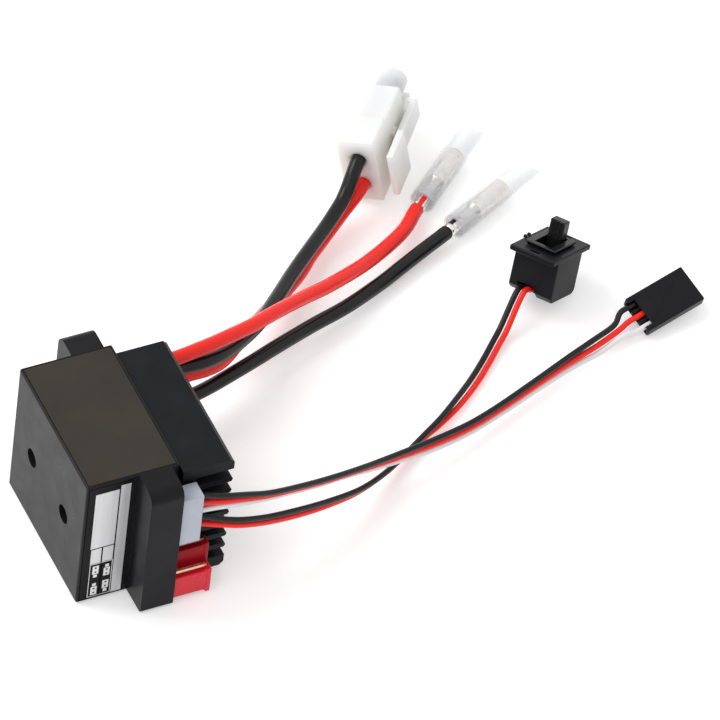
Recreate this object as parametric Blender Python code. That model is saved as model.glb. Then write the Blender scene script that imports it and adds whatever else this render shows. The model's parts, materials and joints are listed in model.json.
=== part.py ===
"""Waterproof brushed speed controller for a model car, with its leads, plugs and power switch.

The case stands on its long side. +X runs from the case bottom to the fin tips, +Y from the
signal end to the power end, +Z up to the label. The origin is under the middle of the case.
Sizes are in metres.
"""
import math

import bmesh
import bpy
from mathutils import Matrix, Vector

MM = 0.001
CLEAR = 0.3 * MM            # gap kept between pieces that seat on each other
FILM_CLEAR = 0.12 * MM      # gap under a glued film
OVERCUT = 1.0 * MM          # how far a cutter or a fused root runs past the face it meets
FINE_EDGE = 0.15 * MM       # bevel of small mouldings
PLAIN_EDGE = 0.2 * MM       # bevel of larger mouldings

# Case: a block with a mounting ear at each end
CASE_DEPTH = 19.5 * MM
CASE_LENGTH = 33.5 * MM
CASE_WIDTH = 33.0 * MM
CASE_WALL = 1.6 * MM
CASE_EDGE = 0.45 * MM
EAR_BACK = 10.85 * MM       # from the case bottom to the ear
EAR_THICK = 6.9 * MM
EAR_WALL = 0.6 * MM
EAR_SIDE_WALL = 1.0 * MM
POWER_EAR_REACH = 5.9 * MM   # how far the power end's ear stands out of the case
EAR_FLOOR = 1.0 * MM
EAR_TOP_ROUND = 2.5 * MM
EAR_BASE_ROUND = 0.8 * MM
MOUTH_LIP = 0.5 * MM        # rim left between an ear's mouth and the neck
MOUTH_DEPTH = 0.4 * MM
BOTTOM_HOLE_SPACING = 15.5 * MM
BOTTOM_HOLE_RADIUS = 2.0 * MM
BOTTOM_HOLE_DEPTH = 5.0 * MM
BOTTOM_BOSS_WALL = 1.5 * MM

# Labels sit in shallow recesses
FILM_THICK = 0.2 * MM
FILM_RECESS = 0.32 * MM
FILM_MARGIN = 0.5 * MM
END_LABEL_DEPTH = 9.25 * MM

# Finned heat sink
SINK_OVERHANG = 1.2 * MM    # past the case at the signal end
SINK_SETBACK = 1.5 * MM     # short of the case at the power end
SINK_INSET = 1.3 * MM       # from the case's top and base
SINK_BASE = 2.7 * MM
SINK_WALL = 2.8 * MM
FIN_HEIGHT = 8.2 * MM
FIN_THICK = 1.3 * MM
FIN_PITCH = 3.15 * MM
FIN_COUNT = 7
FIN_TIP_SEGMENTS = 4
SINK_CORNER = 0.9 * MM

# Circuit board and what stands on it
BOARD_FRONT = 14.55 * MM    # from the case bottom to the board's component side
BOARD_THICK = 1.6 * MM
PAD_THICK = 0.5 * MM
PAD_LENGTH = 19.0 * MM
PAD_WIDTH = 18.0 * MM
MOSFET_LENGTH = 8.0 * MM
MOSFET_WIDTH = 7.6 * MM
MOSFET_GAP = 1.2 * MM
SCREW_INSET_Y = 5.0 * MM
SCREW_INSET_Z = 5.2 * MM
SCREW_RADIUS = 1.0 * MM
SCREW_HEAD_RADIUS = 1.9 * MM
SCREW_HEAD_HEIGHT = 1.2 * MM
SCREW_BITE = 1.7 * MM
POST_WALL = 0.7 * MM
CAPACITOR_RADIUS = 3.15 * MM
CAPACITOR_LENGTH = 12.0 * MM
CAPACITOR_OFFSET = 9.6 * MM
CHIP_SIZE = 5.0 * MM
CHIP_THICK = 1.1 * MM
REGULATOR_SIZE = 6.4 * MM
REGULATOR_THICK = 2.3 * MM
PART_INSET = 5.75 * MM      # from a case end to the middle of the chip beside it

# Signal connector in the near ear
SIGNAL_PINS = 5
SIGNAL_PITCH = 2.0 * MM
SIGNAL_END = 2.4 * MM       # from the last pin to the housing's end
SIGNAL_THICK = 4.1 * MM
SIGNAL_GAP = 0.4 * MM       # from the heat sink to the connector
SIGNAL_CENTRE_Z = 22.3 * MM
SOCKET_HEIGHT = 2.6 * MM
SOCKET_FLOOR = 1.0 * MM
SOCKET_WALL = 0.6 * MM
PLUG_HEAD = 4.8 * MM
SIGNAL_PIN_RADIUS = 0.3 * MM
WIRE_SEAT_DEPTH = 1.2 * MM
SIGNAL_PIN_REACH = 3.3 * MM
BOARD_TAIL = 0.8 * MM

# Two three-pin headers with red jumper caps
HEADER_PINS = 3
HEADER_PITCH = 2.54 * MM
HEADER_END = 0.9 * MM
HEADER_THICK = 1.8 * MM
HEADER_PIN = 0.64 * MM
HEADER_PIN_LENGTH = 7.2 * MM
HEADER_LOW_Z = 2.3 * MM
CAP_LENGTH = 7.9 * MM
CAP_WIDTH = 5.4 * MM
CAP_THICK = 2.0 * MM
CAP_LIP = 0.3 * MM
CAP_LIP_LENGTH = 1.5 * MM
CAP_END_WALL = 0.8 * MM
CAP_SLOT = 1.3 * MM
CLIP_THICK = 0.7 * MM
CLIP_WIDTH = 1.2 * MM
CLIP_START = 1.0 * MM       # from the cap's mouth to its clip

# Leads
POWER_WIRE = 3.0 * MM
SIGNAL_WIRE = 1.2 * MM
RIBBON_PITCH = 1.42 * MM
POWER_EXIT_PITCH = 5.4 * MM
POWER_EXIT_LOW_Z = 6.9 * MM
POTTING_THICK = 1.3 * MM
POWER_LEADS_COUNT = 4
LEAD_STRAIGHT = 1.0 * MM    # straight run of a lead outside a plug
LEAD_SPACING = 2.4          # distance between a lead's rings, in lead diameters

# Battery plug, placed from the power end's anchor
BATTERY_PLUG_REACH = Vector((77.8, 43.5, 8.8)) * MM
BATTERY_PLUG_HEADING = math.radians(49.0)
BATTERY_PLUG_ROLL = math.radians(-14.0)
BATTERY_WIDTH = 14.6 * MM
BATTERY_THICK = 8.0 * MM
BATTERY_BLOCK = 18.2 * MM
BATTERY_TIP = 6.5 * MM
BATTERY_COLLAR = 8.5 * MM
BATTERY_COLLAR_STEP = 0.5 * MM
BATTERY_PITCH = 6.3 * MM
BATTERY_BORE_RADIUS = 2.25 * MM
BATTERY_TUBE_WALL = 0.7 * MM
BATTERY_BACK_BORE = 7.0 * MM
BATTERY_CONTACT_WALL = 0.35 * MM
BATTERY_EDGE = 0.6 * MM
NOSE_EDGE = 0.3 * MM
COLLAR_INSET = 0.2 * MM
BATTERY_CONTACT_INSET = 2.0 * MM    # from the plug's mouth to its contacts
BATTERY_CRIMP = 3.0 * MM            # solid part of a contact, over the wire
LATCH_TAB_LENGTH = 8.0 * MM
LATCH_TAB_WIDTH = 10.4 * MM
LATCH_TAB_STANDOFF = 2.2 * MM
LATCH_THICK = 1.4 * MM
LATCH_ARM_WIDTH = 4.8 * MM
LATCH_ARM_LENGTH = 13.5 * MM
LATCH_PIVOT_X = 10.5 * MM
LATCH_PIVOT_LENGTH = 2.0 * MM
LATCH_PIVOT_HEIGHT = 0.5 * MM
LATCH_HOOK = 1.3 * MM
LATCH_HOOK_INSET = 0.1 * MM
LATCH_ROOT = 1.0 * MM       # how far the arm runs under the tab

# Motor sockets in clear sleeves, placed from the power end's anchor
MOTOR_SOCKETS = (
    ("red", Vector((87.2, 35.5, 2.8)) * MM, math.radians(39.8)),
    ("black", Vector((90.2, 27.6, 2.8)) * MM, math.radians(25.7)),
)
CRIMP_RADIUS = 1.4 * MM
CRIMP_LENGTH = 7.4 * MM
BARREL_TAPER = 1.2 * MM
BARREL_RADIUS = 2.05 * MM
BARREL_BORE = 1.75 * MM
BARREL_LENGTH = 8.8 * MM
BARREL_DEPTH = 7.6 * MM
SOCKET_CORE = 0.35 * MM     # thin passage that runs through the socket
SLEEVE_START = 2.3 * MM     # bare crimp between the lead's end and the sleeve
SLEEVE_WALL = 0.3 * MM
SLEEVE_SKIRT = 10.2 * MM    # past the socket's mouth
SLEEVE_STEP = 1.0 * MM      # length over which the sleeve closes to its skirt
SKIRT_TAPER = 0.15 * MM

# Power switch in its holder, placed from the signal end's anchor
SWITCH_REACH = Vector((99.2, 49.9, 12.3)) * MM
SWITCH_HEADING = math.radians(-57.9)
SWITCH_PITCH = math.radians(-7.2)
SWITCH_ROLL = math.radians(-22.3)
FLANGE_WIDTH = 10.4 * MM
FLANGE_LENGTH = 14.6 * MM
FLANGE_THICK = 1.2 * MM
HOLDER_WIDTH = 10.0 * MM
HOLDER_LENGTH = 9.8 * MM
HOLDER_DEPTH = 10.3 * MM
HOLDER_WALL = 1.0 * MM
HOLDER_EDGE = 0.4 * MM
HOLDER_CHAMFER = 1.3 * MM    # along the two short sides of the holder's foot
FLANGE_SLOT_WIDTH = 2.2 * MM
FLANGE_SLOT_LENGTH = 0.9 * MM
BEZEL_RIM = 0.3 * MM
BEZEL_THICK = 0.6 * MM
SWITCH_BODY_WIDTH = 5.7 * MM
SWITCH_BODY_LENGTH = 7.4 * MM
SWITCH_BODY_DEPTH = 4.6 * MM
LEVER_WIDTH = 3.4 * MM
LEVER_LENGTH = 2.1 * MM
LEVER_HEIGHT = 4.9 * MM
LEVER_FOOT = 2.2 * MM
LEVER_TRAVEL = 4.0 * MM
LEVER_RIB = 0.25 * MM
LEVER_RIBS = 4
TERMINAL_PITCH = 2.3 * MM
TERMINAL_SIZE = 0.8 * MM
TERMINAL_LENGTH = 1.3 * MM
TERMINALS = 3
CABLE_NOTCH_WIDTH = 4.2 * MM
CABLE_NOTCH_HEIGHT = 2.4 * MM
CABLE_NOTCH_DEPTH = 2.6 * MM
CABLE_NOTCH_SHIFT = -0.9 * MM

# Receiver plug, placed from the signal end's anchor
RECEIVER_PLUG_REACH = Vector((118.4, 35.4, 3.5)) * MM
RECEIVER_PLUG_HEADING = math.radians(12.5)
RECEIVER_PLUG_PITCH = math.radians(-7.0)
RECEIVER_PLUG_ROLL = math.radians(17.0)
RECEIVER_LENGTH = 14.0 * MM
RECEIVER_WIDTH = 8.2 * MM
RECEIVER_THICK = 2.6 * MM
RECEIVER_CHANNEL = 1.85 * MM
RECEIVER_NOTCH = 1.6 * MM
RECEIVER_CONTACT = 1.1 * MM
RECEIVER_CONTACT_LENGTH = 6.5 * MM
RECEIVER_MOUTH = 2.5 * MM

# Places that follow from the sizes. X counts from the case bottom, Y from the case's middle.
TOTAL_DEPTH = CASE_DEPTH + CLEAR + SINK_BASE + FIN_HEIGHT
X_BOTTOM = -TOTAL_DEPTH / 2
X_NECK = X_BOTTOM + CASE_DEPTH
X_EAR_BACK = X_BOTTOM + EAR_BACK
X_EAR_FRONT = X_EAR_BACK + EAR_THICK
X_SINK = X_NECK + CLEAR
X_SINK_BASE = X_SINK + SINK_BASE
X_TIPS = X_SINK_BASE + FIN_HEIGHT
X_BOARD_FRONT = X_BOTTOM + BOARD_FRONT
X_BOARD_BACK = X_BOARD_FRONT - BOARD_THICK
X_POTTING_FRONT = X_EAR_FRONT - MOUTH_DEPTH - CLEAR
X_POTTING_BACK = X_POTTING_FRONT - POTTING_THICK
Y_NEAR = -CASE_LENGTH / 2
Y_FAR = CASE_LENGTH / 2
Y_SINK_NEAR = Y_NEAR - SINK_OVERHANG
SINK_LENGTH = CASE_LENGTH + SINK_OVERHANG - SINK_SETBACK
SINK_SHIFT = Y_SINK_NEAR + SINK_LENGTH / 2
SINK_WIDTH = CASE_WIDTH - 2 * SINK_INSET
BACK_HEADER_Y = Y_SINK_NEAR - CLEAR - CAP_THICK / 2
FRONT_HEADER_Y = BACK_HEADER_Y - CAP_THICK - CLEAR
EAR_REACH = Y_NEAR - FRONT_HEADER_Y + HEADER_THICK / 2 + CLEAR + EAR_WALL
Y_EAR_NEAR = Y_NEAR - EAR_REACH
Y_EAR_FAR = Y_FAR + POWER_EAR_REACH
Z_MIDDLE = CASE_WIDTH / 2
Z_INNER_LOW = CASE_WALL
Z_INNER_HIGH = CASE_WIDTH - CASE_WALL
BOARD_Y_LOW = Y_EAR_NEAR + EAR_WALL + CLEAR
BOARD_Y_HIGH = Y_EAR_FAR - EAR_WALL - CLEAR
BOARD_Z_LOW = EAR_SIDE_WALL + CLEAR
BOARD_Z_HIGH = CASE_WIDTH - EAR_SIDE_WALL - CLEAR
POWER_WIRE_Y = Y_FAR + (POWER_EAR_REACH - EAR_WALL + MOUTH_LIP) / 2
SOCKET_Y_HIGH = Y_SINK_NEAR - SIGNAL_GAP
SOCKET_Y = SOCKET_Y_HIGH - SIGNAL_THICK / 2
SIGNAL_LENGTH = (SIGNAL_PINS - 1) * SIGNAL_PITCH + 2 * SIGNAL_END
X_SOCKET_BACK = X_BOARD_FRONT + CLEAR
X_SOCKET_TOP = X_SOCKET_BACK + SOCKET_HEIGHT
X_PLUG_BACK = X_SOCKET_TOP + CLEAR
X_PLUG_TOP = X_PLUG_BACK + PLUG_HEAD
X_SIGNAL_PIN_END = X_SOCKET_BACK + SIGNAL_PIN_REACH
X_WIRE_SEAT = X_PLUG_TOP - WIRE_SEAT_DEPTH
X_HEADER_BACK = X_BOARD_FRONT + CLEAR
X_HEADER_TOP = X_EAR_FRONT
BOTTOM_BOSS_TOP = X_BOTTOM + BOTTOM_HOLE_DEPTH + CASE_WALL
POWER_ANCHOR = Vector((X_EAR_FRONT, POWER_WIRE_Y, 0.0))
SIGNAL_ANCHOR = Vector((X_PLUG_TOP, SOCKET_Y, 0.0))


# ---------------------------------------------------------------- Blender helpers

def clear_scene():
    for obj in list(bpy.data.objects):
        bpy.data.objects.remove(obj, do_unlink=True)


def new_collection(name):
    collection = bpy.data.collections.new(name)
    bpy.context.scene.collection.children.link(collection)
    return collection


def material(name, colour, roughness, metallic=0.0, alpha=1.0):
    mat = bpy.data.materials.new(name)
    mat.use_nodes = True
    shader = mat.node_tree.nodes["Principled BSDF"]
    shader.inputs["Base Color"].default_value = (*colour, 1.0)
    shader.inputs["Roughness"].default_value = roughness
    shader.inputs["Metallic"].default_value = metallic
    shader.inputs["Alpha"].default_value = alpha
    return mat


def box(bm, low, high, edge=0.0, segments=1):
    """Add a box between two corners, with every edge bevelled by edge."""
    low, high = Vector(low), Vector(high)
    made = bmesh.ops.create_cube(bm, size=1.0)
    size = high - low
    place = Matrix.Translation((low + high) / 2) @ Matrix.Diagonal((*size, 1.0))
    bmesh.ops.transform(bm, matrix=place, verts=made["verts"])
    if edge > 0:
        edges = list({e for v in made["verts"] for e in v.link_edges})
        bmesh.ops.bevel(bm, geom=edges, offset=edge, segments=segments, affect="EDGES", profile=0.5)


AXIS_TURN = {
    "X": Matrix.Rotation(math.radians(90), 4, "Y"),
    "Y": Matrix.Rotation(math.radians(-90), 4, "X"),
    "Z": Matrix.Identity(4),
}


def rod(bm, axis, centre, radius, length, sides=24, end_radius=None):
    """Add a cylinder, or a cone, that is centred on a point and runs along one axis."""
    bmesh.ops.create_cone(
        bm, cap_ends=True, segments=sides, radius1=radius,
        radius2=radius if end_radius is None else end_radius, depth=length,
        matrix=Matrix.Translation(Vector(centre)) @ AXIS_TURN[axis])


def span(bm, axis, start, length, radius, sides=24):
    """Add a cylinder that starts at a point and runs along an axis."""
    step = {"X": Vector((1, 0, 0)), "Y": Vector((0, 1, 0)), "Z": Vector((0, 0, 1))}[axis]
    rod(bm, axis, Vector(start) + step * length / 2, radius, length, sides)


def prism(bm, half_length, outline):
    """Add a prism along X with its outline given as (Y, Z) points."""
    ends = [[bm.verts.new((x, y, z)) for y, z in outline] for x in (-half_length, half_length)]
    for end in ends:
        bm.faces.new(end)
    for index in range(len(outline)):
        after = (index + 1) % len(outline)
        bm.faces.new((ends[0][index], ends[0][after], ends[1][after], ends[1][index]))


def mesh_object(name, bm, collection, parent=None):
    mesh = bpy.data.meshes.new(name)
    bmesh.ops.recalc_face_normals(bm, faces=bm.faces)
    bm.to_mesh(mesh)
    bm.free()
    obj = bpy.data.objects.new(name, mesh)
    collection.objects.link(obj)
    obj.parent = parent
    return obj


def piece(name, bm, mat, parent=None, smooth=True):
    """Turn a bmesh into one named piece of the object."""
    obj = mesh_object(name, bm, PARTS, parent)
    obj.data.materials.append(mat)
    if smooth:
        obj.data.shade_smooth()
        obj.data.set_sharp_from_angle(angle=math.radians(35))
    return obj


def boolean(target, bm, operation):
    """Cut a bmesh out of a piece, or fuse it on, with the tool kept beside the pieces."""
    count = len(target.modifiers)
    tool = mesh_object(f"{target.name}_tool_{count}", bm, TOOLS, target.parent)
    tool.location = target.location
    tool.rotation_euler = target.rotation_euler
    tool.display_type = "WIRE"
    tool.hide_render = True
    modifier = target.modifiers.new(operation.title(), "BOOLEAN")
    modifier.operation = operation
    modifier.object = tool
    modifier.solver = "EXACT"


def cut(target, bm):
    boolean(target, bm, "DIFFERENCE")


def fuse(target, bm):
    boolean(target, bm, "UNION")


def frame_empty(name, location, heading=0.0, pitch=0.0, roll=0.0, parent=None):
    """An empty that carries pieces modelled in their own upright frame."""
    empty = bpy.data.objects.new(name, None)
    empty.empty_display_size = CLEAR * 10
    empty.location = location
    empty.rotation_euler = (roll, pitch, heading)
    empty.parent = parent
    PARTS.objects.link(empty)
    bpy.context.view_layer.update()
    return empty


def turned(name, profile, mat, parent=None, steps=20):
    """Turn a closed outline of (along X, radius) points about the X axis."""
    bm = bmesh.new()
    verts = [bm.verts.new((radius, 0.0, along)) for along, radius in profile]
    for first, second in zip(verts, verts[1:] + verts[:1]):
        bm.edges.new((first, second))
    bmesh.ops.spin(
        bm, geom=bm.verts[:] + bm.edges[:], cent=(0, 0, 0), axis=(0, 0, 1),
        angle=math.tau, steps=steps, use_merge=True, use_duplicate=False)
    bmesh.ops.remove_doubles(bm, verts=bm.verts, dist=0.00001)
    bmesh.ops.transform(bm, matrix=AXIS_TURN["X"], verts=bm.verts)
    return piece(name, bm, mat, parent)


def flat_outline(name, points, thickness, mat, collection, parent=None):
    """A closed outline in XY, filled and given a thickness along Z, as a mesh."""
    data = bpy.data.curves.new(name, "CURVE")
    data.dimensions = "2D"
    data.fill_mode = "BOTH"
    data.extrude = thickness / 2
    spline = data.splines.new("POLY")
    spline.points.add(len(points) - 1)
    for slot, (x, y) in zip(spline.points, points):
        slot.co = (x, y, 0.0, 1.0)
    spline.use_cyclic_u = True
    curve = bpy.data.objects.new(name + "_outline", data)
    bpy.context.scene.collection.objects.link(curve)
    bpy.context.view_layer.update()
    evaluated = curve.evaluated_get(bpy.context.evaluated_depsgraph_get())
    mesh = bpy.data.meshes.new_from_object(evaluated)
    mesh.name = name
    bpy.data.objects.remove(curve, do_unlink=True)
    bm = bmesh.new()
    bm.from_mesh(mesh)
    bmesh.ops.remove_doubles(bm, verts=bm.verts, dist=0.00001)
    bmesh.ops.recalc_face_normals(bm, faces=bm.faces)
    bm.to_mesh(mesh)
    bm.free()
    obj = bpy.data.objects.new(name, mesh)
    collection.objects.link(obj)
    obj.parent = parent
    obj.data.materials.clear()
    obj.data.materials.append(mat)
    return obj


# ---------------------------------------------------------------- case and labels

def ear_block(bm):
    """The block that makes both ears, with its corners rounded in the YZ plane."""
    box(bm, (X_EAR_BACK, Y_EAR_NEAR, 0.0), (X_EAR_FRONT, Y_EAR_FAR, CASE_WIDTH))
    along_x = [e for e in bm.edges if abs(e.verts[0].co.x - e.verts[1].co.x) > EAR_THICK / 2]
    top = [e for e in along_x if e.verts[0].co.z > Z_MIDDLE]
    base = [e for e in along_x if e.verts[0].co.z < Z_MIDDLE]
    bmesh.ops.bevel(bm, geom=top, offset=EAR_TOP_ROUND, segments=6, affect="EDGES", profile=0.5)
    bmesh.ops.bevel(bm, geom=base, offset=EAR_BASE_ROUND, segments=3, affect="EDGES", profile=0.5)


def film_box(bm, side, margin, low_depth, high_depth):
    """A flat box just inside the top face or the near end face of the case."""
    x_low = X_BOTTOM + FILM_MARGIN + margin
    if side == "top":
        low = (x_low, Y_NEAR + FILM_MARGIN + margin, CASE_WIDTH - low_depth)
        high = (X_NECK - FILM_MARGIN - margin, Y_FAR - FILM_MARGIN - margin, CASE_WIDTH - high_depth)
    else:
        x_high = X_BOTTOM + FILM_MARGIN + END_LABEL_DEPTH - margin
        low = (x_low, Y_NEAR + high_depth, FILM_MARGIN + margin)
        high = (x_high, Y_NEAR + low_depth, CASE_WIDTH - FILM_MARGIN - margin)
    box(bm, low, high)


def make_case():
    bm = bmesh.new()
    box(bm, (X_BOTTOM, Y_NEAR, 0.0), (X_NECK, Y_FAR, CASE_WIDTH), CASE_EDGE, 2)
    case = piece("case_shell", bm, BLACK_PLASTIC)

    bm = bmesh.new()
    ear_block(bm)
    fuse(case, bm)

    bm = bmesh.new()
    box(bm, (X_BOTTOM + CASE_WALL, Y_NEAR + CASE_WALL, Z_INNER_LOW),
        (X_NECK + OVERCUT, Y_FAR - CASE_WALL, Z_INNER_HIGH))
    cut(case, bm)

    bm = bmesh.new()
    box(bm, (X_EAR_BACK + EAR_FLOOR, Y_EAR_NEAR + EAR_WALL, EAR_SIDE_WALL),
        (X_EAR_FRONT - MOUTH_DEPTH, Y_EAR_FAR - EAR_WALL, CASE_WIDTH - EAR_SIDE_WALL))
    cut(case, bm)

    for low, high in ((Y_EAR_NEAR + EAR_WALL, Y_NEAR - MOUTH_LIP),
                      (Y_FAR + MOUTH_LIP, Y_EAR_FAR - EAR_WALL)):
        bm = bmesh.new()
        box(bm, (X_EAR_BACK + EAR_THICK / 2, low, EAR_SIDE_WALL),
            (X_EAR_FRONT + OVERCUT, high, CASE_WIDTH - EAR_SIDE_WALL))
        cut(case, bm)

    for side in (-1, 1):
        y = side * BOTTOM_HOLE_SPACING / 2
        bm = bmesh.new()
        start = X_BOTTOM + CASE_WALL / 2
        span(bm, "X", (start, y, Z_MIDDLE), BOTTOM_BOSS_TOP - start, BOTTOM_HOLE_RADIUS + BOTTOM_BOSS_WALL)
        fuse(case, bm)
        bm = bmesh.new()
        span(bm, "X", (X_BOTTOM - OVERCUT, y, Z_MIDDLE), BOTTOM_HOLE_DEPTH + OVERCUT, BOTTOM_HOLE_RADIUS)
        cut(case, bm)

    for side in ("top", "end"):
        bm = bmesh.new()
        film_box(bm, side, 0.0, FILM_RECESS, -OVERCUT)
        cut(case, bm)
    return case


def make_labels():
    for name, side in (("top_label", "top"), ("end_label", "end")):
        bm = bmesh.new()
        low_depth = FILM_RECESS - FILM_CLEAR
        film_box(bm, side, FILM_CLEAR, low_depth, low_depth - FILM_THICK)
        piece(name, bm, LABEL_FILM)


# ---------------------------------------------------------------- heat sink

def fin_tip(x_tip, z_low, z_high):
    """Half-round end of a fin, from its upper face to its lower face."""
    radius = (z_high - z_low) / 2
    points = []
    for step in range(FIN_TIP_SEGMENTS + 1):
        angle = math.pi / 2 - math.pi * step / FIN_TIP_SEGMENTS
        rise = radius * math.sin(angle)
        points.append((x_tip - radius + radius * math.cos(angle), z_low + radius + rise))
    return points


def make_heat_sink():
    z_low = Z_MIDDLE - SINK_WIDTH / 2
    z_high = Z_MIDDLE + SINK_WIDTH / 2
    outline = [(X_SINK, z_low), (X_SINK, z_high)]
    outline += [(X_TIPS - SINK_CORNER, z_high), (X_TIPS, z_high - SINK_CORNER)]
    outline += [(X_TIPS, z_high - SINK_WALL), (X_SINK_BASE, z_high - SINK_WALL)]
    for fin in range(FIN_COUNT):
        centre = Z_MIDDLE + ((FIN_COUNT - 1) / 2 - fin) * FIN_PITCH
        low, high = centre - FIN_THICK / 2, centre + FIN_THICK / 2
        outline += [(X_SINK_BASE, high), *fin_tip(X_TIPS, low, high), (X_SINK_BASE, low)]
    outline += [(X_SINK_BASE, z_low + SINK_WALL), (X_TIPS, z_low + SINK_WALL)]
    outline += [(X_TIPS, z_low + SINK_CORNER), (X_TIPS - SINK_CORNER, z_low)]
    sink = flat_outline("heat_sink", outline, SINK_LENGTH, BLACK_ALUMINIUM, PARTS)
    sink.rotation_euler = (math.radians(90), 0.0, 0.0)
    sink.location = (0.0, SINK_SHIFT, 0.0)
    bpy.context.view_layer.update()

    # four posts reach the board; they are placed in the sink's own frame, where its length runs along Z
    post_start = X_BOARD_FRONT + CLEAR
    post_length = X_SINK + SINK_BASE / 2 - post_start
    hole_length = X_SINK + SCREW_BITE + CLEAR - post_start + OVERCUT
    for y, z in screw_places():
        bm = bmesh.new()
        span(bm, "X", (post_start, z, SINK_SHIFT - y), post_length, SCREW_RADIUS + CLEAR + POST_WALL, 16)
        fuse(sink, bm)
    bm = bmesh.new()
    for y, z in screw_places():
        span(bm, "X", (post_start - OVERCUT, z, SINK_SHIFT - y), hole_length, SCREW_RADIUS + CLEAR, 16)
    cut(sink, bm)


# ---------------------------------------------------------------- inside the case

def screw_places():
    for y in (Y_NEAR + SCREW_INSET_Y, Y_FAR - SCREW_INSET_Y):
        for z in (SCREW_INSET_Z, CASE_WIDTH - SCREW_INSET_Z):
            yield y, z


def signal_pin_heights():
    middle = (SIGNAL_PINS - 1) / 2
    return [SIGNAL_CENTRE_Z + (middle - pin) * SIGNAL_PITCH for pin in range(SIGNAL_PINS)]


def header_pin_heights(low_z):
    return [low_z + pin * HEADER_PITCH for pin in range(HEADER_PINS)]


FRONT_PINS = header_pin_heights(HEADER_LOW_Z)
BACK_PINS = header_pin_heights(HEADER_LOW_Z + 2 * HEADER_PITCH)
HEADERS = (
    ("reverse", BACK_HEADER_Y, BACK_PINS, BACK_PINS[:2]),
    ("battery", FRONT_HEADER_Y, FRONT_PINS, FRONT_PINS[:2]),
)


def make_board():
    bm = bmesh.new()
    box(bm, (X_BOARD_BACK, BOARD_Y_LOW, BOARD_Z_LOW), (X_BOARD_FRONT, BOARD_Y_HIGH, BOARD_Z_HIGH))
    board = piece("circuit_board", bm, BOARD_GREEN)
    bm = bmesh.new()
    start = X_BOARD_BACK - OVERCUT
    length = BOARD_THICK + 2 * OVERCUT
    for y, z in screw_places():
        span(bm, "X", (start, y, z), length, SCREW_RADIUS + CLEAR, 16)
    for z in signal_pin_heights():
        span(bm, "X", (start, SOCKET_Y, z), length, SIGNAL_PIN_RADIUS + CLEAR, 10)
    for _, y, pins, _ in HEADERS:
        for z in pins:
            span(bm, "X", (start, y, z), length, HEADER_PIN * math.sqrt(0.5) + CLEAR, 10)
    cut(board, bm)


def make_power_stage():
    """Four transistors pressed on the heat sink through a pad."""
    pad_back = X_SINK - CLEAR - PAD_THICK
    bm = bmesh.new()
    box(bm, (pad_back, -PAD_LENGTH / 2, Z_MIDDLE - PAD_WIDTH / 2),
        (pad_back + PAD_THICK, PAD_LENGTH / 2, Z_MIDDLE + PAD_WIDTH / 2))
    piece("thermal_pad", bm, PAD_GREY)

    corners = [(y_side, z_side) for y_side in (-1, 1) for z_side in (-1, 1)]
    for number, (y_side, z_side) in enumerate(corners, 1):
        y = y_side * (MOSFET_LENGTH + MOSFET_GAP) / 2
        z = Z_MIDDLE + z_side * (MOSFET_WIDTH + MOSFET_GAP) / 2
        bm = bmesh.new()
        box(bm, (X_BOARD_FRONT + CLEAR, y - MOSFET_LENGTH / 2, z - MOSFET_WIDTH / 2),
            (pad_back - CLEAR, y + MOSFET_LENGTH / 2, z + MOSFET_WIDTH / 2))
        piece(f"power_transistor_{number}", bm, CHIP_BLACK)


def make_board_screws():
    head_front = X_BOARD_BACK - CLEAR
    for number, (y, z) in enumerate(screw_places(), 1):
        bm = bmesh.new()
        span(bm, "X", (head_front - SCREW_HEAD_HEIGHT / 2, y, z),
             X_SINK + SCREW_BITE - head_front + SCREW_HEAD_HEIGHT / 2, SCREW_RADIUS, 12)
        screw = piece(f"board_screw_{number}", bm, STEEL)
        bm = bmesh.new()
        span(bm, "X", (head_front - SCREW_HEAD_HEIGHT, y, z), SCREW_HEAD_HEIGHT, SCREW_HEAD_RADIUS, 16)
        fuse(screw, bm)


def make_back_side_parts():
    """Parts on the side of the board that looks at the case bottom."""
    top = X_BOARD_BACK - CLEAR
    for name, side in (("lower_capacitor", -1), ("upper_capacitor", 1)):
        bm = bmesh.new()
        z = Z_MIDDLE + side * CAPACITOR_OFFSET
        rod(bm, "Y", (top - CAPACITOR_RADIUS, 0.0, z), CAPACITOR_RADIUS, CAPACITOR_LENGTH, 20)
        piece(name, bm, CAPACITOR_SLEEVE)
    chips = (("control_chip", Y_NEAR + PART_INSET, CHIP_SIZE, CHIP_THICK),
             ("voltage_regulator", Y_FAR - PART_INSET, REGULATOR_SIZE, REGULATOR_THICK))
    for name, y, size, thick in chips:
        bm = bmesh.new()
        box(bm, (top - thick, y - size / 2, Z_MIDDLE - size / 2), (top, y + size / 2, Z_MIDDLE + size / 2))
        piece(name, bm, CHIP_BLACK)


def make_power_end():
    """Resin that closes the power end round the four thick leads."""
    bm = bmesh.new()
    box(bm, (X_POTTING_BACK, Y_FAR + MOUTH_LIP + CLEAR, BOARD_Z_LOW),
        (X_POTTING_FRONT, BOARD_Y_HIGH, BOARD_Z_HIGH))
    resin = piece("power_end_resin", bm, RESIN)
    bm = bmesh.new()
    for wire in range(POWER_LEADS_COUNT):
        z = POWER_EXIT_LOW_Z + wire * POWER_EXIT_PITCH
        start = (X_POTTING_BACK - OVERCUT, POWER_WIRE_Y, z)
        span(bm, "X", start, POTTING_THICK + 2 * OVERCUT, POWER_WIRE / 2 + CLEAR, 20)
    cut(resin, bm)


# ---------------------------------------------------------------- signal end

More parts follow.
